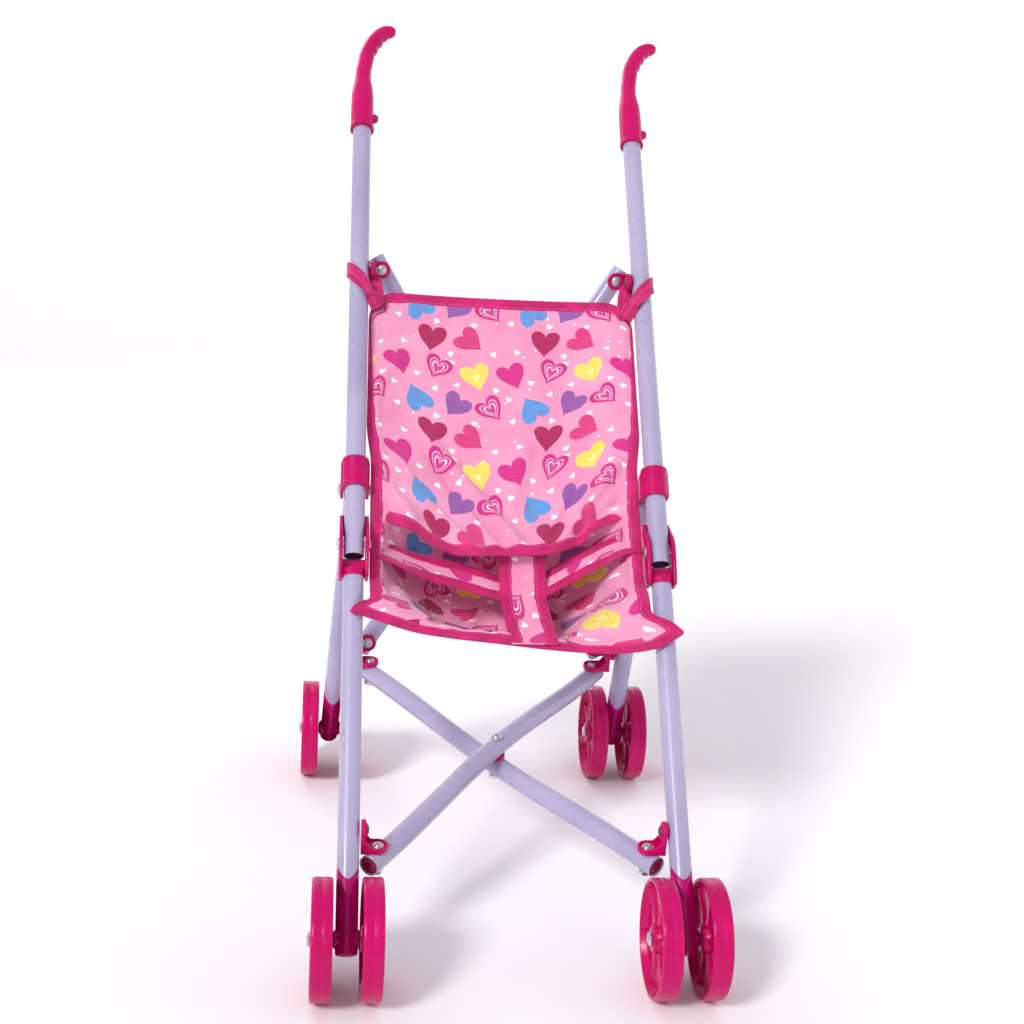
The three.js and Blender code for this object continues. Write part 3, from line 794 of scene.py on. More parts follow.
def elbow_mesh():
    """The clevis on the front leg: two cheeks, a web behind the tube, and a spigot into the leg."""
    corners = [
        (-5.5, -25), (6, -25), (10, -17), (10, 25), (7, 25), (-6, 9.5), (-8, 4), (-8, -9),
    ]
    outline = rounded([(y * MM, ELBOW_STATION + z * MM) for y, z in corners], 2.2 * MM, 4)
    cheeks = [
        prism(outline, CHEEK, CHEEK_OUT, 0.7 * MM, along_x), prism(outline, -CHEEK_OUT, -CHEEK, 0.7 * MM, along_x),
    ]
    wide = CHEEK + 1 * MM

    def web(y0, y1, z0, z1):
        corners = [(y0 * MM, z0), (y1 * MM, z0), (y1 * MM, z1), (y0 * MM, z1)]
        return prism(rounded(corners, 0.8 * MM, 3), -wide, wide, 0.2 * MM, along_x)

    back = web(7.5, 10, ELBOW_STATION + 10 * MM, ELBOW_STATION + 25 * MM)
    swing = rod(11.8 * MM, -wide - 1 * MM, wide + 1 * MM, along_x, (0, ELBOW_STATION), segments=64)
    floor = fused([web(0.6, 10, LEG_TOP + GAP, LEG_TOP + 14 * MM)], [swing])
    ring = rod(TUBE_R + 0.9 * MM, LEG_TOP - 3.6 * MM, LEG_TOP + GAP + 1.6 * MM, edge=0.6 * MM, segments=48)
    bore = rod(TUBE_R + 0.15 * MM, LEG_TOP - 6 * MM, LEG_TOP - 0.2 * MM, edge=0.1 * MM, segments=48)
    spigot = rod(5.4 * MM, LEG_TOP - 24 * MM, LEG_TOP + 0.5 * MM)
    return fused([fused([*cheeks, back, floor, ring], [bore]), spigot])


def collar_mesh():
    """A sleeve with two lips, and two ears behind it that hold the rear leg."""
    inside, outside, half = TUBE_R + 0.2 * MM, TUBE_R + 2.2 * MM, 11 * MM
    corners = [
        (inside, -half), (outside + 0.3 * MM, -half), (outside + 0.3 * MM, -half + 2.2 * MM),
        (outside, -half + 2.8 * MM), (outside, half - 2.8 * MM), (outside + 0.3 * MM, half - 2.2 * MM),
        (outside + 0.3 * MM, half), (inside, half),
    ]
    profile = rounded([(r, COLLAR + z) for r, z in corners], 0.5 * MM, 3)
    sleeve = lathe([(p.x, p.y) for p in profile], 56, closed=True)
    pivot_at = Vector((PIVOT_BACK, COLLAR - PIVOT_DOWN))
    ear = [Vector((-1 * MM, COLLAR + 9 * MM)), Vector((-1 * MM, COLLAR - 9 * MM))]
    ear += [Vector((PIVOT_BACK - 2 * MM, pivot_at.y - 7 * MM))]
    ear += [
        pivot_at + Vector((math.cos(a), math.sin(a))) * 6.5 * MM
        for a in (-math.pi / 2 + math.pi * k / 12 for k in range(1, 13))
    ]
    ear += [Vector((8 * MM, COLLAR + 9 * MM))]
    ears = [
        prism(ear, CHEEK, CHEEK_OUT - 0.1 * MM, 0.6 * MM, along_x),
        prism(ear, -CHEEK_OUT + 0.1 * MM, -CHEEK, 0.6 * MM, along_x),
    ]
    bore = rod(inside, COLLAR - 14 * MM, COLLAR + 14 * MM, edge=0.1 * MM, segments=56)
    return fused([sleeve, *ears], [bore])


# Grip centreline: across, up from its base, radius
HOOK = [
    (0, 0, 9.1), (0, 3, 9.2), (0, 5, 8.8), (0, 18, 8.8), (0, 34, 8.5), (0, 42, 7.6), (0, 50, 6.4),
    (0.4, 58, 6.1), (1.6, 66, 6), (3.2, 74, 6.1), (6, 82, 6.2), (9.6, 89, 6.2), (13.4, 94.4, 6),
    (17, 97.6, 5.6), (20.4, 98.9, 5.1), (23.2, 99.2, 4.1), (25.2, 99.2, 2.4),
]
SCALLOPS = (66, 106)


def grip_mesh():
    """A grip: a sleeve that narrows and hooks over, finger scallops inside the bend and a ridge outside."""
    fine = []
    for i in range(len(HOOK) - 1):
        knots = [Vector(HOOK[min(max(i + k, 0), len(HOOK) - 1)]) for k in (-1, 0, 1, 2)]
        for t in (0, 0.25, 0.5, 0.75):
            a, b, c, d = knots
            fine.append(0.5 * (2 * b + (c - a) * t + (2 * a - 5 * b + 4 * c - d) * t**2
                               + (3 * b - a - 3 * c + d) * t**3))
    fine.append(Vector(HOOK[-1]))
    segments = 40
    rings = []
    travelled = 0
    for i, (x, z, radius) in enumerate(fine):
        before, after = fine[max(i - 1, 0)], fine[min(i + 1, len(fine) - 1)]
        heading = math.atan2(after.x - before.x, after.y - before.y)
        travelled += math.hypot(x - before.x, z - before.y) if i else 0
        first, final = SCALLOPS
        in_hook = min(1, max(0, (travelled - first) / 6)) * min(1, max(0, (final - travelled) / 6))
        wave = 0.5 + 0.5 * math.cos(2 * math.pi * (travelled - first) / 9.5)
        ring = []
        for k in range(segments):
            angle = 2 * math.pi * k / segments
            inner, outer = max(0, math.cos(angle)) ** 2, max(0, -math.cos(angle)) ** 6
            reach = (radius - 0.9 * in_hook * wave * inner + 0.45 * in_hook * outer) * MM
            across = reach * math.cos(angle)
            ring.append(Vector((
                x * MM + across * math.cos(heading), reach * math.sin(angle),
                GRIP_BASE + z * MM - across * math.sin(heading),
            )))
        rings.append(ring)
    boss = rod(3.6 * MM, 6 * MM, 10.8 * MM, along_x, (0, GRIP_BASE + 12 * MM), 0.5 * MM)
    bore = rod(TUBE_R + 0.15 * MM, GRIP_BASE - 5 * MM, HANDLE_TOP + 0.5 * MM, edge=0.2 * MM, segments=48)
    return fused([skin(rings), boss], [bore])


# ---------- the frame ----------
def build_frame():
    grip, screw = grip_mesh(), pan_head(2.8 * MM, 10.9 * MM, 1.6 * MM, along_x, (0, GRIP_BASE + 12 * MM))
    elbow, collar, foot, axle, pin = elbow_mesh(), collar_mesh(), foot_mesh(), axle_mesh(), rivet(CHEEK_OUT)
    handle = lined(tube_mesh(HANDLE_END, HANDLE_TOP), BORE_R)
    front = tube_mesh(FOOT_TOP, LEG_TOP, lower_edge=scallop)
    for x in (LEFT, RIGHT):
        name = side(x)
        main = main_frame(x * LEG_X)
        handle_body, front_body, rear_body = f"handle_{name}", f"front_leg_{name}", f"rear_leg_{name}"
        up = Matrix.Translation((0, 0, ELBOW_STATION))
        down = Matrix.Translation((0, PIVOT_BACK, COLLAR - PIVOT_DOWN))
        piece(f"handle_{name}_painted", handle.copy(), main, handle_body, PAINT,
              [f"handle_tube_{name}"])
        piece(f"grip_{name}_moulded", grip.copy(), main, handle_body, PINK, [f"grip_{name}"])
        piece(f"grip_{name}_screw_head", screw.copy(), main, handle_body, SCREW,
              [f"grip_screw_{name}"])
        piece(f"collar_{name}_moulded", collar.copy(), main, handle_body, PINK,
              [f"collar_{name}"])
        piece(f"collar_{name}_rivet", pin.copy(), main @ down, handle_body, STEEL,
              [f"collar_pin_{name}"])
        piece(f"leg_front_{name}_painted", front.copy(), main, front_body, PAINT,
              [f"front_leg_{name}"])
        piece(f"elbow_{name}_moulded", elbow.copy(), main, front_body, PINK,
              [f"elbow_bracket_{name}"])
        piece(f"elbow_{name}_rivet", pin.copy(), main @ up, front_body, STEEL,
              [f"elbow_pin_{name}"])
        rear = rear_frame(x * REAR_X)
        aim = Vector((x * (LEG_X - REAR_X), 0, REAR_LENGTH))
        splayed = rear @ tilt_to(aim)
        rear_tube = tube_mesh(FOOT_TOP, aim.length + 3 * MM, lower_edge=scallop)
        piece(f"leg_rear_{name}_painted", rear_tube, splayed, rear_body, PAINT,
              [f"rear_leg_{name}"])
        for end, where, body in (("front", main, front_body), ("rear", splayed, rear_body)):
            piece(f"foot_{end}_{name}_moulded", foot.copy(), where, body, PLUG,
                  [f"foot_plug_{end}_{name}"])
            hub = Matrix.Translation(centre(f"axle_{end}_{name}"))
            piece(f"axle_{end}_{name}_turned", axle.copy(), hub, body, STEEL, [f"axle_{end}_{name}"])


def cross_frame(low, high):
    """X across, Y along a cross, Z towards the bolt heads; low and high are two bolts on one side."""
    run = high - low
    middle = (low + high) / 2
    turn = Matrix.Rotation(math.atan2(run.z, run.y), 4, "X")
    return Matrix.Translation((0, middle.y, middle.z)) @ turn


def build_cross(name, low_joint, high_joint, ends):
    """Two bars that cross, their centre bolt, and a bracket on each end; ends lists the brackets."""
    low, high = pivot(low_joint), pivot(high_joint)
    span, reach = -2 * low.x, (high - low).length
    where = cross_frame(low, high)
    for which, bow, lean in (("over", BOW_OVER, 1), ("under", -BOW_UNDER, -1)):
        piece(f"{name}_bar_{which}_painted", bar_mesh(span, reach, bow, lean), where, f"{name}_bar_{which}",
              PAINT, [f"{name}_bar_{which}"])
    head, nut = BOW_OVER + TUBE_R + GAP, -BOW_UNDER - TUBE_R - GAP
    carrier = "seat_bar_over" if name == "seat" else "back_bar_over"
    piece(f"{name}_cross_bolt", bolt(head, nut), where, carrier, STEEL, [f"{name}_centre_bolt"])
    spacer = lathe([(0, 0), (6.2 * MM, 0), (6.6 * MM, 0.5 * MM), (6.6 * MM, 3.6 * MM), (6.2 * MM, 4 * MM), (0, 4 * MM)], 40)
    piece(f"{name}_cross_spacer", spacer, where, carrier, PINK)
    end_bolt = bolt(TUBE_R + GAP + PLATE - 0.7 * MM, -TUBE_R - GAP, 2.9 * MM)
    for node_name, body_name, way, face, shows_screw in ends:
        for x in (LEFT, RIGHT):
            mesh, inner = bracket_mesh(-x, face, shows_screw)
            at = where @ Matrix.Translation((x * span / 2, way * reach / 2, 0))
            body, label = f"{body_name}_{side(x)}", f"{node_name}_{side(x)}"
            piece(f"{label}_moulded", mesh, at, body, PINK, [label])
            piece(f"{label}_bolt", end_bolt.copy(), at, body, STEEL)
            if shows_screw:
                head_mesh = pan_head(3.2 * MM, inner - x * 0.7 * MM, -x * 1.4 * MM, along_x, (0, SCREW_RISE))
                piece(f"{label}_screw", head_mesh, at, body, SCREW)


def bar_plug_mesh(span, reach, lean):
    """The plug that closes a bar's front end, set back into it."""
    half = math.hypot(span, reach) / 2
    ways = Vector((lean * span, reach, 0)).normalized()
    profile = [(0, 1.8 * MM), (2.6 * MM, 1.6 * MM), (3.4 * MM, 0.9 * MM), (5 * MM, 0.8 * MM), (5.6 * MM, 1.3 * MM)]
    profile += [(5.6 * MM, 6 * MM), (0, 6 * MM)]
    mesh = lathe(profile, 40)
    mesh.transform(Matrix.Translation(ways * (-half - BAR_END)) @ tilt_to(ways))
    return mesh


LEG_FACE = LEG_X - TUBE_R - 0.9 * MM
REAR_SCREW = 160 * MM


def build_crosses():
    rear_x = LEG_X + (REAR_X - LEG_X) * REAR_SCREW / REAR_LENGTH
    rear_face = rear_x - TUBE_R - 0.9 * MM
    seat_half, back_half = -pivot("seat_scissor_left").x, -pivot("back_scissor_left").x
    build_cross("seat", "seat_scissor_left", "seat_rear_left", [
        ("seat_front_bracket", "seat_bracket", -1, LEG_FACE - seat_half, True),
        ("seat_rear_bracket", "seat_rear_bracket", 1, rear_face - PLATE - 1 * MM - seat_half, True),
    ])
    build_cross("back", "back_lower_left", "back_scissor_left", [
        ("back_lower_bracket", "back_lower_bracket", -1, rear_face - back_half, False),
        ("back_upper_bracket", "back_bracket", 1, LEG_FACE - back_half, True),
    ])
    low, high = pivot("seat_scissor_left"), pivot("seat_rear_left")
    where = cross_frame(low, high)
    span, reach = -2 * low.x, (high - low).length
    for name, lean, body in (("left", 1, "seat_bar_over"), ("right", -1, "seat_bar_under")):
        piece(f"seat_bar_{name}_end_plug", bar_plug_mesh(span, reach, lean), where, body, DARK,
              [f"seat_bar_plug_{name}"])


# ---------- floor, light and camera ----------
def build_stage():
    """A pale round floor that curves up into a wall all round, and soft light."""
    reach, bend, high = 5, 2.5, 4.2
    profile = [(0, 0), (reach, 0)]
    profile += [
        (reach + bend * math.sin(a), bend - bend * math.cos(a)) for a in (math.pi / 2 * k / 16 for k in range(1, 17))
    ]
    profile.append((reach + bend, high))
    segments = 96
    points = [(0, 0, 0)]
    points += [
        (r * math.cos(a), r * math.sin(a), z)
        for r, z in profile[1:] for a in (2 * math.pi * k / segments for k in range(segments))
    ]
    faces = [(0, 1 + k, 1 + (k + 1) % segments) for k in range(segments)]
    for i in range(len(profile) - 2):
        a, b = 1 + i * segments, 1 + (i + 1) * segments
        faces += [(a + k, b + k, b + (k + 1) % segments, a + (k + 1) % segments) for k in range(segments)]
    mesh = bpy.data.meshes.new("floor")
    mesh.from_pydata(points, [], faces)
    mesh.shade_smooth()
    floor = holder(mesh, "floor")
    material, tree, shader = new_material("floor", 0.6)
    shader.inputs["Base Color"].default_value = linear(250, 248, 251)
    mesh.materials.append(material)
    world = bpy.data.worlds.new("studio")
    bpy.context.scene.world = world
    world.use_nodes = True
    world.node_tree.nodes["Background"].inputs[0].default_value = (0.97, 0.96, 1.0, 1)
    world.node_tree.nodes["Background"].inputs[1].default_value = 0.6
    lamps = [
        ("key", "SUN", (-0.75, -0.8, 1.15), 2.0, math.radians(14)), ("fill", "AREA", (1.3, -0.7, 0.6), 1.5, 0.8),
        ("rim", "AREA", (-0.7, 1.2, 1.1), 3, 0.6),
    ]
    for name, kind, place, power, width in lamps:
        data = bpy.data.lights.new(name, kind)
        data.energy = power
        if kind == "SUN":
            data.angle = width
        else:
            data.size = width
        lamp = bpy.data.objects.new(name, data)
        bpy.context.scene.collection.objects.link(lamp)
        lamp.location = place
        aim = Vector((0, 0, 0.3)) - lamp.location
        lamp.rotation_euler = aim.to_track_quat("-Z", "Y").to_euler()
    bpy.context.scene.view_settings.view_transform = "Standard"


def build_camera():
    yaw, pitch, roll = (math.radians(a) for a in (7.31, 14.86, -3.67))
    forward = Vector((math.sin(yaw) * math.cos(pitch), math.cos(yaw) * math.cos(pitch), -math.sin(pitch)))
    level = Vector((math.cos(yaw), -math.sin(yaw), 0))
    upright = Vector((math.sin(yaw) * math.sin(pitch), math.cos(yaw) * math.sin(pitch), math.cos(pitch)))
    right = level * math.cos(roll) - upright * math.sin(roll)
    up = level * math.sin(roll) + upright * math.cos(roll)
    data = bpy.data.cameras.new("camera")
    data.sensor_width = 36
    data.lens = 56.25
    camera = bpy.data.objects.new("camera", data)
    bpy.context.scene.collection.objects.link(camera)
    turn = Matrix((right, up, -forward)).transposed().to_4x4()
    camera.matrix_world = Matrix.Translation((-0.134, FRONT_AXLE.y - 0.8812, 0.5471)) @ turn
    bpy.context.scene.camera = camera


# ---------- the sling ----------
FOLD = JOINTS["frame_fold"]
SIDE = 94.6 * MM
TOP_SIDE = 98.2 * MM
CLOTH = 0.8 * MM
# How far across from a sheet's middle, as a share of its width, its taped side starts
HELD = 0.458


def bound(points_by_edge, tape_width=BIND_WIDTH):
    """Bias tape folded over an edge. Each entry is the cloth's points from the edge inwards."""
    half = CLOTH / 2 + 0.55 * MM
    rings, uvs = [], []
    travelled = 0
    starts = [walk[0] for walk in points_by_edge]
    for i, walk in enumerate(points_by_edge):
        before, after = starts[max(i - 1, 0)], starts[min(i + 1, len(starts) - 1)]
        tangent = (after - before).normalized()
        travelled += (starts[i] - starts[i - 1]).length if i else 0
        pucker = 1 + 0.12 * noise.noise(Vector((travelled * 160, tape_width * 900, 0.3)))
        across = [0, 0.25, 0.6, 1]
        middles = [at_distance(walk, share * tape_width * pucker) for share in across]
        inward = (middles[-1] - middles[0]).normalized()
        normal = tangent.cross(inward).normalized()
        lip = middles[0] - inward * 0.9 * MM
        tapers = (1, 1.05, 1, 0.72)
        front = [m + normal * half * t for m, t in zip(middles, tapers)]
        behind = [m - normal * half * t for m, t in zip(middles, tapers)]
        rings.append([lip] + front + behind[::-1])
        reach = [0] + [share * tape_width for share in across]
        uvs.append([(travelled, r) for r in reach + reach[:0:-1]])
    mesh = with_uvs(rings, uvs)
    return mesh


def with_uvs(rings, uvs):
    """A closed skin over rings, with the cloth's own lengths as its UV map."""
    count = len(rings[0])
    points = [p for ring in rings for p in ring]
    places = [p for ring in uvs for p in ring]
    faces = []
    for i in range(len(rings) - 1):
        for k in range(count):
            n = (k + 1) % count
            faces.append((i * count + k, i * count + n, (i + 1) * count + n, (i + 1) * count + k))
    faces.append(tuple(reversed(range(count))))
    faces.append(tuple(range((len(rings) - 1) * count, len(rings) * count)))
    mesh = bpy.data.meshes.new("tape")
    mesh.from_pydata(points, [], faces)
    layer = mesh.uv_layers.new(name="cloth")
    for loop in mesh.loops:
        layer.data[loop.index].uv = places[loop.vertex_index]
    bm = bmesh.new()
    bm.from_mesh(mesh)
    bmesh.ops.recalc_face_normals(bm, faces=bm.faces[:])
    bm.to_mesh(mesh)
    bm.free()
    mesh.shade_smooth()
    mesh.set_sharp_from_angle(angle=math.radians(60))
    return mesh


def at_distance(walk, distance):
    """The point that far along a walk of points."""
    for a, b in zip(walk, walk[1:]):
        step = (b - a).length
        if distance <= step:
            return a.lerp(b, distance / max(step, 1e-9))
        distance -= step
    return walk[-1].copy()


class Grid:
    """A sheet of cloth as rows and columns of points, with its flat size for the print."""

    def __init__(self, name, rows, columns, shape, flat, facing=1):
        self.name, self.rows, self.columns, self.flat = name, rows, columns, flat
        points = [shape(c / (columns - 1), r / (rows - 1)) for r in range(rows) for c in range(columns)]
        faces = []
        for r in range(rows - 1):
            for c in range(columns - 1):
                a = r * columns + c
                faces.append((a, a + 1, a + columns + 1, a + columns)[::facing])
        mesh = bpy.data.meshes.new(name)
        mesh.from_pydata(points, [], faces)
        layer = mesh.uv_layers.new(name="cloth")
        for loop in mesh.loops:
            r, c = divmod(loop.vertex_index, columns)
            layer.data[loop.index].uv = self.uv(c / (columns - 1), r / (rows - 1))
        self.obj = holder(mesh, name)

    def uv(self, u, v):
        return (u - 0.5) * self.flat[0], v * self.flat[1]

    def pins(self, keep):
        """The numbers of the points that keep(u, v) holds fast."""
        return [
            r * self.columns + c for r in range(self.rows) for c in range(self.columns)
            if keep(c / (self.columns - 1), r / (self.rows - 1))
        ]

    def simulate(self, pinned, frames, spare, weight):
        """Lets the cloth hang from its pinned points; spare is how much larger it is cut than its span."""
        obj = self.obj
        group = obj.vertex_groups.new(name="pin")
        group.add(pinned, 1, "REPLACE")
        cloth = obj.modifiers.new("cloth", "CLOTH")
        settings = cloth.settings
        settings.quality = 8
        settings.mass = weight
        settings.tension_stiffness = 40
        settings.compression_stiffness = 40
        settings.shear_stiffness = 12
        settings.bending_stiffness = 0.6
        settings.tension_damping = 12
        settings.air_damping = 3
        settings.shrink_min = -spare
        settings.vertex_group_mass = "pin"
        cloth.collision_settings.use_collision = False
        cloth.point_cache.frame_start = 1
        cloth.point_cache.frame_end = frames
        for number in range(1, frames + 1):
            bpy.context.scene.frame_set(number)
        graph = bpy.context.evaluated_depsgraph_get()
        settled = [v.co.copy() for v in obj.evaluated_get(graph).data.vertices]
        obj.modifiers.remove(cloth)
        obj.vertex_groups.remove(group)
        bpy.context.scene.frame_set(1)
        for vertex, place in zip(obj.data.vertices, settled):
            vertex.co = place

    def creased(self, move):
        """Moves each point of the cloth by move(u, v, its place), a vector in millimetres."""
        for index, vertex in enumerate(self.obj.data.vertices):
            r, c = divmod(index, self.columns)
            vertex.co += move(c / (self.columns - 1), r / (self.rows - 1), vertex.co) * MM

    def at(self, column, row):
        return self.obj.data.vertices[row * self.columns + column].co.copy()

    def edge(self, which, start=0.0, end=1.0, deep=14):
        """Walks of points from an edge inwards, one for each point along that edge."""
        if which in ("left", "right"):
            rows = range(round(start * (self.rows - 1)), round(end * (self.rows - 1)) + 1)
            columns = range(deep) if which == "left" else range(self.columns - 1, self.columns - 1 - deep, -1)
            return [[self.at(c, r) for c in columns] for r in rows]
        columns = range(round(start * (self.columns - 1)), round(end * (self.columns - 1)) + 1)
        rows = range(deep) if which == "low" else range(self.rows - 1, self.rows - 1 - deep, -1)
        return [[self.at(c, r) for r in rows] for c in columns]

    def finish(self, body, replaces, held, rests_on, tapes, fold=True):
        obj = self.obj
        obj.data.shade_smooth()
        for material in (PRINT, REVERSE):
            obj.data.materials.append(material)
        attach(obj, body)
        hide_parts(*replaces)
        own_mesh(obj)
        smooth = obj.modifiers.new("smooth", "SUBSURF")
        smooth.levels = smooth.render_levels = 1
        thick = obj.modifiers.new("thick", "SOLIDIFY")
        thick.thickness = CLOTH
        thick.offset = 0
        thick.material_offset = 1
        thick.material_offset_rim = 0


def tape(name, walks, body, width=BIND_WIDTH):
    obj = piece(name, bound(walks, width), Matrix.Identity(4), body, BINDING)
    smooth = obj.modifiers.new("smooth", "SUBSURF")
    smooth.levels = smooth.render_levels = 1
    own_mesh(obj)
    return obj


def smoothstep(low, high, value):
    t = min(1, max(0, (value - low) / (high - low)))
    return t * t * (3 - 2 * t)


BACK_TOP = 471.5 * MM
CORNER = 22 * MM
# The backrest's lower edge: (across, station)
BACK_LOW = [(-95, 291), (-74, 282), (-57, 273), (-34, 265), (-4, 263), (30, 267), (54, 278), (68, 289), (95, 297)]


def crease(x, s, start, end, width, depth):
    """The height of one soft crease between two places on the cloth, each (across, station)."""
    a, b, p = Vector(start), Vector(end), Vector((x, s))
    run = b - a
    t = (p - a).dot(run) / run.length_squared
    away = (p - a - run * min(1, max(0, t))).length
    taper = smoothstep(-0.05, 0.2, t) * (1 - smoothstep(0.6, 1.05, t))
    return depth * taper * math.exp(-((away / width) ** 2))


CREASE_DEPTH = 1.9
# Creases that run up from where the belt pulls the backrest: (start, end, width, depth)
BACK_CREASES = [
    ((18, 262), (-66, 372), 4, 3.4), ((6, 262), (-60, 350), 3, -2.6), ((-4, 264), (-40, 330), 3, 2.2),
    ((-20, 268), (-72, 318), 4, 2.2), ((20, 266), (52, 330), 4, 1.8), ((34, 270), (92, 352), 4, 3.0),
    ((46, 278), (94, 318), 4, -2.2), ((-60, 278), (-94, 326), 5, 2.6), ((4, 300), (22, 372), 6, 1.6),
]


def at_across(points, x):
    """The height of a smooth curve through (across, height) points, at one place across."""
    for i in range(len(points) - 1):
        if x <= points[i + 1][0] or i == len(points) - 2:
            share = (x - points[i][0]) / (points[i + 1][0] - points[i][0])
            return on_curve(points, (i + min(1, max(0, share))) / (len(points) - 1)).y


def backrest_shape(u, v):
    across = 2 * u - 1
    low = at_across(BACK_LOW, across * 94.6) * MM
    rough = low + (BACK_TOP - low) * v
    half = SIDE + (TOP_SIDE - SIDE) * smoothstep(0.331, 0.372, rough)
    x = across * half
    beyond = max(0, abs(x) - (half - CORNER))
    top = BACK_TOP - (CORNER - math.sqrt(max(0, CORNER**2 - beyond**2)))
    middle = max(0, 1 - (x / (half - BIND_WIDTH)) ** 2)
    s = low + (top - low) * v
    sag = (4 + 13 * (1 - v) ** 1.4) * MM * middle**0.7
    return line(x, s, 6 * MM + sag)


def back_crease(u, v, place):
    """Forwards by the creases and a faint ripple, fading out towards the sides."""
    at = main_frame(0).inverted() @ place
    x, s = at.x / MM, at.z / MM
    height = sum(crease(x, s, *each) for each in BACK_CREASES)
    height += 0.7 * noise.noise(Vector((x * 0.045, s * 0.022, 0.7)))
    across = 2 * u - 1
    held = min(1, 4 * (1 - across**2)) * smoothstep(0, 0.08, 1 - v)
    return main_frame(0).to_3x3() @ Vector((0, -CREASE_DEPTH * height * held, 0))


# The seat's middle from its rear edge round to its front: (station, back)
SEAT_LINE = [(302, 23), (290, 42), (273, 60), (254, 71), (237, 69), (223, 54), (211, 31), (197, 7)]
# Its front edge, which passes in front of both legs: (across, station, back)
SEAT_FRONT = [
    (-108, 211, -10), (-93, 208, -6), (-66, 203, 3), (-40, 200, 6), (-6, 197, 7), (34, 193, 7), (70, 190, 3),
    (98, 190.5, -8.5), (117, 201, -10.5),
]
SEAT_SIDE_TOP = {LEFT: 300, RIGHT: 305}


def on_curve(points, t):
    """A smooth curve through points, with t from 0 to 1."""
    place = t * (len(points) - 1)
    i = min(int(place), len(points) - 2)
    f = place - i
    a, b, c, d = (Vector(points[min(max(i + k, 0), len(points) - 1)]) for k in (-1, 0, 1, 2))
    return 0.5 * (2 * b + (c - a) * f + (2 * a - 5 * b + 4 * c - d) * f**2 + (3 * b - a - 3 * c + d) * f**3)


def seat_shape(u, v):
    across = 2 * u - 1
    edge = min(1, abs(across) * SIDE / (SIDE - BIND_WIDTH)) ** 3.2
    middle = on_curve(SEAT_LINE, v)
    side_top = SEAT_SIDE_TOP[LEFT if across < 0 else RIGHT]
    s = middle.x * (1 - edge) + (side_top + (208 - side_top) * v) * edge
    back = middle.y * (1 - edge) + 6 * edge
    x, s_front, back_front = on_curve(SEAT_FRONT, u)
    x = across * SIDE / MM + (x - across * SIDE / MM) * smoothstep(0.88, 1, v)
    s += (s_front - s) * smoothstep(0.75, 1, v)
    back += (back_front - back) * smoothstep(0.8 - 0.25 * edge, 1 - 0.1 * edge, v)
    return line(x * MM, s * MM, back * MM)


FRONT_ROLL = 7.5


def seat_crease(u, v, place):
    """Folds that fan out over the seat, deepest in its middle."""
    across = 2 * u - 1
    held = (1 - abs(across) ** 3.2) * smoothstep(0, 0.3, v) * smoothstep(0, 0.25, 1 - v)
    fold = 2 + 1.6 * math.sin(across * 17 + 6 * v) + 3 * noise.noise(Vector((across * 3.4, v * 5, 4.1)))
    lip = FRONT_ROLL * smoothstep(0.7, 0.935, v) * (1 - smoothstep(0.935, 1, v))
    return main_frame(0).to_3x3() @ (Vector((0, 0.6, 0.8)) * fold * held + Vector((0, 0, lip)))


def ribbon_grid(name, path, width_at, rows, flat, facing=1):
    """A strap as a grid: path(v) is its middle and width_at(v) half its width, as a vector."""
    return Grid(name, rows, 13, lambda u, v: path(v) + width_at(v) * (2 * u - 1), flat, facing)


STRAP_TAPE = 7 * MM
BELT_HALF = 10.5 * MM
CROTCH_HALF = 16 * MM
# The lap belt's halves and the crotch strap along their middles: (across, station, back)
BELT = {
    LEFT: [(-94.4, 269, 8), (-80, 265, 16), (-58, 259, 23), (-30, 254, 28), (-2, 247, 30), (14, 244, 30.5)],
    RIGHT: [(94.4, 276, 8), (82, 275, 14), (68, 270, 20), (50, 262, 26), (30, 251, 29), (10, 245, 32)],
}
CROTCH = [(12, 267, 18.5), (12.5, 260, 22), (13, 246, 26.5), (13.5, 236, 26.5), (15, 220, 19), (16.5, 204, 9),
          (17, 196, 4)]


def build_backrest():
    panel = Grid("backrest_cloth", 80, 76, backrest_shape, (2 * TOP_SIDE, 210 * MM))
    held = panel.pins(lambda u, v: abs(u - 0.5) > HELD or v > 0.97)
    panel.simulate(held, 14, 0.012, 0.0008)
    panel.creased(back_crease)
    left, right = panel.edge("left"), panel.edge("right")
    top = panel.edge("high")
    outer = tape("backrest_edge_tape", left[:-1] + top + right[:-1][::-1], "handle_left")
    lower = tape("backrest_low_tape", panel.edge("low"), "handle_left")
    panel.finish("handle_left", ["backrest"], "stretched", ["handle_tube_left", "handle_tube_right"],
                 [outer, lower])


def build_seat():
    seat = Grid("seat_cloth", 76, 80, seat_shape, (2 * SIDE, 176 * MM), facing=-1)
    held = seat.pins(lambda u, v: abs(u - 0.5) > HELD or v in (0, 1) or (v > 0.8 and abs(u - 0.5) > 0.42))
    seat.simulate(held, 14, 0.02, 0.0008)
    seat.creased(seat_crease)
    tapes = [
        tape("seat_left_tape", seat.edge("left"), "seat_sling"),
        tape("seat_right_tape", seat.edge("right"), "seat_sling"),
        tape("seat_front_tape", seat.edge("high"), "seat_sling"),
    ]
    seat.finish("seat_sling", ["seat"], "hung", ["front_leg_left", "front_leg_right"], tapes)


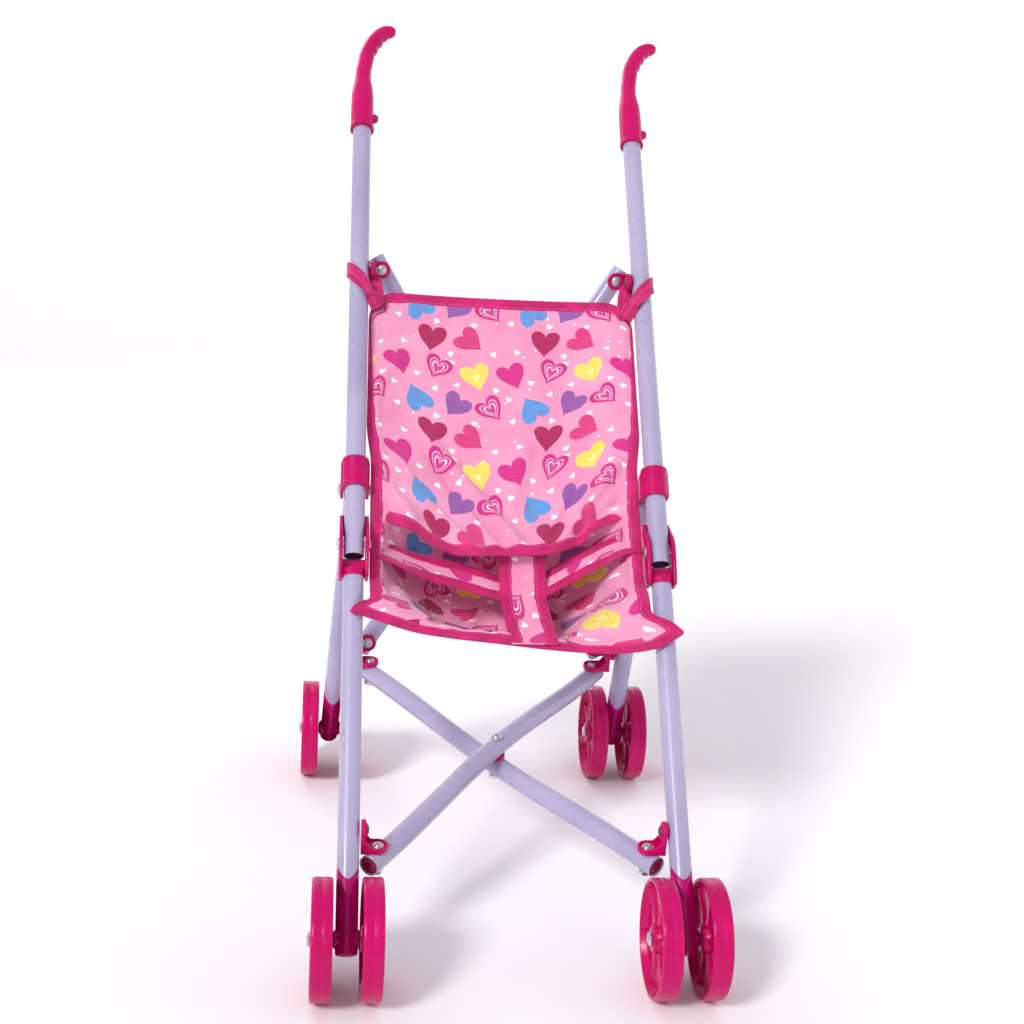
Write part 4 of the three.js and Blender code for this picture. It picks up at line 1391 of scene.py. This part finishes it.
def build_belt():
    """The lap belt in two halves that meet behind the crotch strap, and the strap itself."""
    for x in (LEFT, RIGHT):
        name = side(x)

        def path(v, route=BELT[x]):
            return line(*(on_curve(route, v) * MM))

        def wide(v):
            twist = 0.5 * math.sin(7 * v) * (1 - v)
            return main_frame(0).to_3x3() @ Vector((0, 0.3 + twist, 0.95)) * BELT_HALF

        half = ribbon_grid(f"lap_belt_{name}", path, wide, 44, (2 * BELT_HALF, 116 * MM), x)
        tapes = [
            tape(f"lap_belt_{name}_tape_{k}", half.edge(edge, deep=7), "seat_sling", STRAP_TAPE)
            for k, edge in (("low", "left"), ("high", "right"))
        ]
        half.finish("seat_sling", ["lap_belt"], "stretched", ["seat"], tapes)

    def path(v):
        return line(*(on_curve(CROTCH, v) * MM))

    strap = ribbon_grid("crotch_strap_cloth", path, lambda v: Vector((CROTCH_HALF, 0, 0)), 44,
                        (2 * CROTCH_HALF, 76 * MM), -1)
    tapes = [
        tape(f"crotch_strap_tape_{edge}", strap.edge(edge, deep=7), "seat_sling", STRAP_TAPE * 1.2)
        for edge in ("left", "right")
    ]
    strap.finish("seat_sling", ["crotch_strap"], "stretched", ["seat"], tapes)


LOOP_HALF = 5.8 * MM


def build_loops():
    """Ribbon loops that hang the backrest's top corners from the handle tubes."""
    wide, thick = LOOP_HALF, 0.5 * MM
    for x in (LEFT, RIGHT):
        name = side(x)
        inward = -x
        route = [
            (inward * 14.5, 0.5, 454), (inward * 10, -4.6, 460), (inward * 5.5, -7.4, 466.5), (0, -8.6, 473),
            (-inward * 6, -6.3, 480), (-inward * 8.6, 0, 485), (-inward * 6, 6.3, 488), (0, 8.6, 489),
            (inward * 6.5, 6.8, 487), (inward * 11, 4.4, 479), (inward * 13, 3.6, 467), (inward * 14, 3.6, 455),
        ]
        rings, uvs = [], []
        travelled, last = 0, None
        steps = 64
        for k in range(steps + 1):
            t = k / steps
            p = on_curve(route, t) * MM
            tangent = (on_curve(route, min(1, t + 0.01)) - on_curve(route, max(0, t - 0.01))).normalized()
            if abs(p.x) < 8.8 * MM and p.z < 0.49:
                radial = Vector((p.x, p.y, 0)).normalized()
            else:
                radial = Vector((0, -1 if t < 0.5 else 1, 0))
            breadth = radial.cross(tangent).normalized()
            normal = tangent.cross(breadth).normalized()
            travelled += (p - last).length if last else 0
            last = p
            ring = [p + breadth * wide * a + normal * thick * b for a, b in (
                (-1, -1), (-0.4, -1.1), (0.4, -1.1), (1, -1), (1, 1), (0.4, 1.1), (-0.4, 1.1), (-1, 1))]
            rings.append(ring)
            uvs.append([(travelled, a * wide) for a in (0, 0.6, 1.4, 2, 2, 1.4, 0.6, 0)])
        mesh = with_uvs(rings, uvs)
        loop = piece(f"corner_loop_{name}", mesh, main_frame(x * LEG_X), f"handle_{name}", BINDING,
                     [f"strap_loop_{name}"])
        smooth = loop.modifiers.new("smooth", "SUBSURF")
        smooth.levels = smooth.render_levels = 1
        print("LOOP", name, round(travelled / MM, 1))


build_camera()
build_stage()
build_wheels()
build_frame()
build_crosses()
build_backrest()
build_seat()
build_belt()
build_loops()
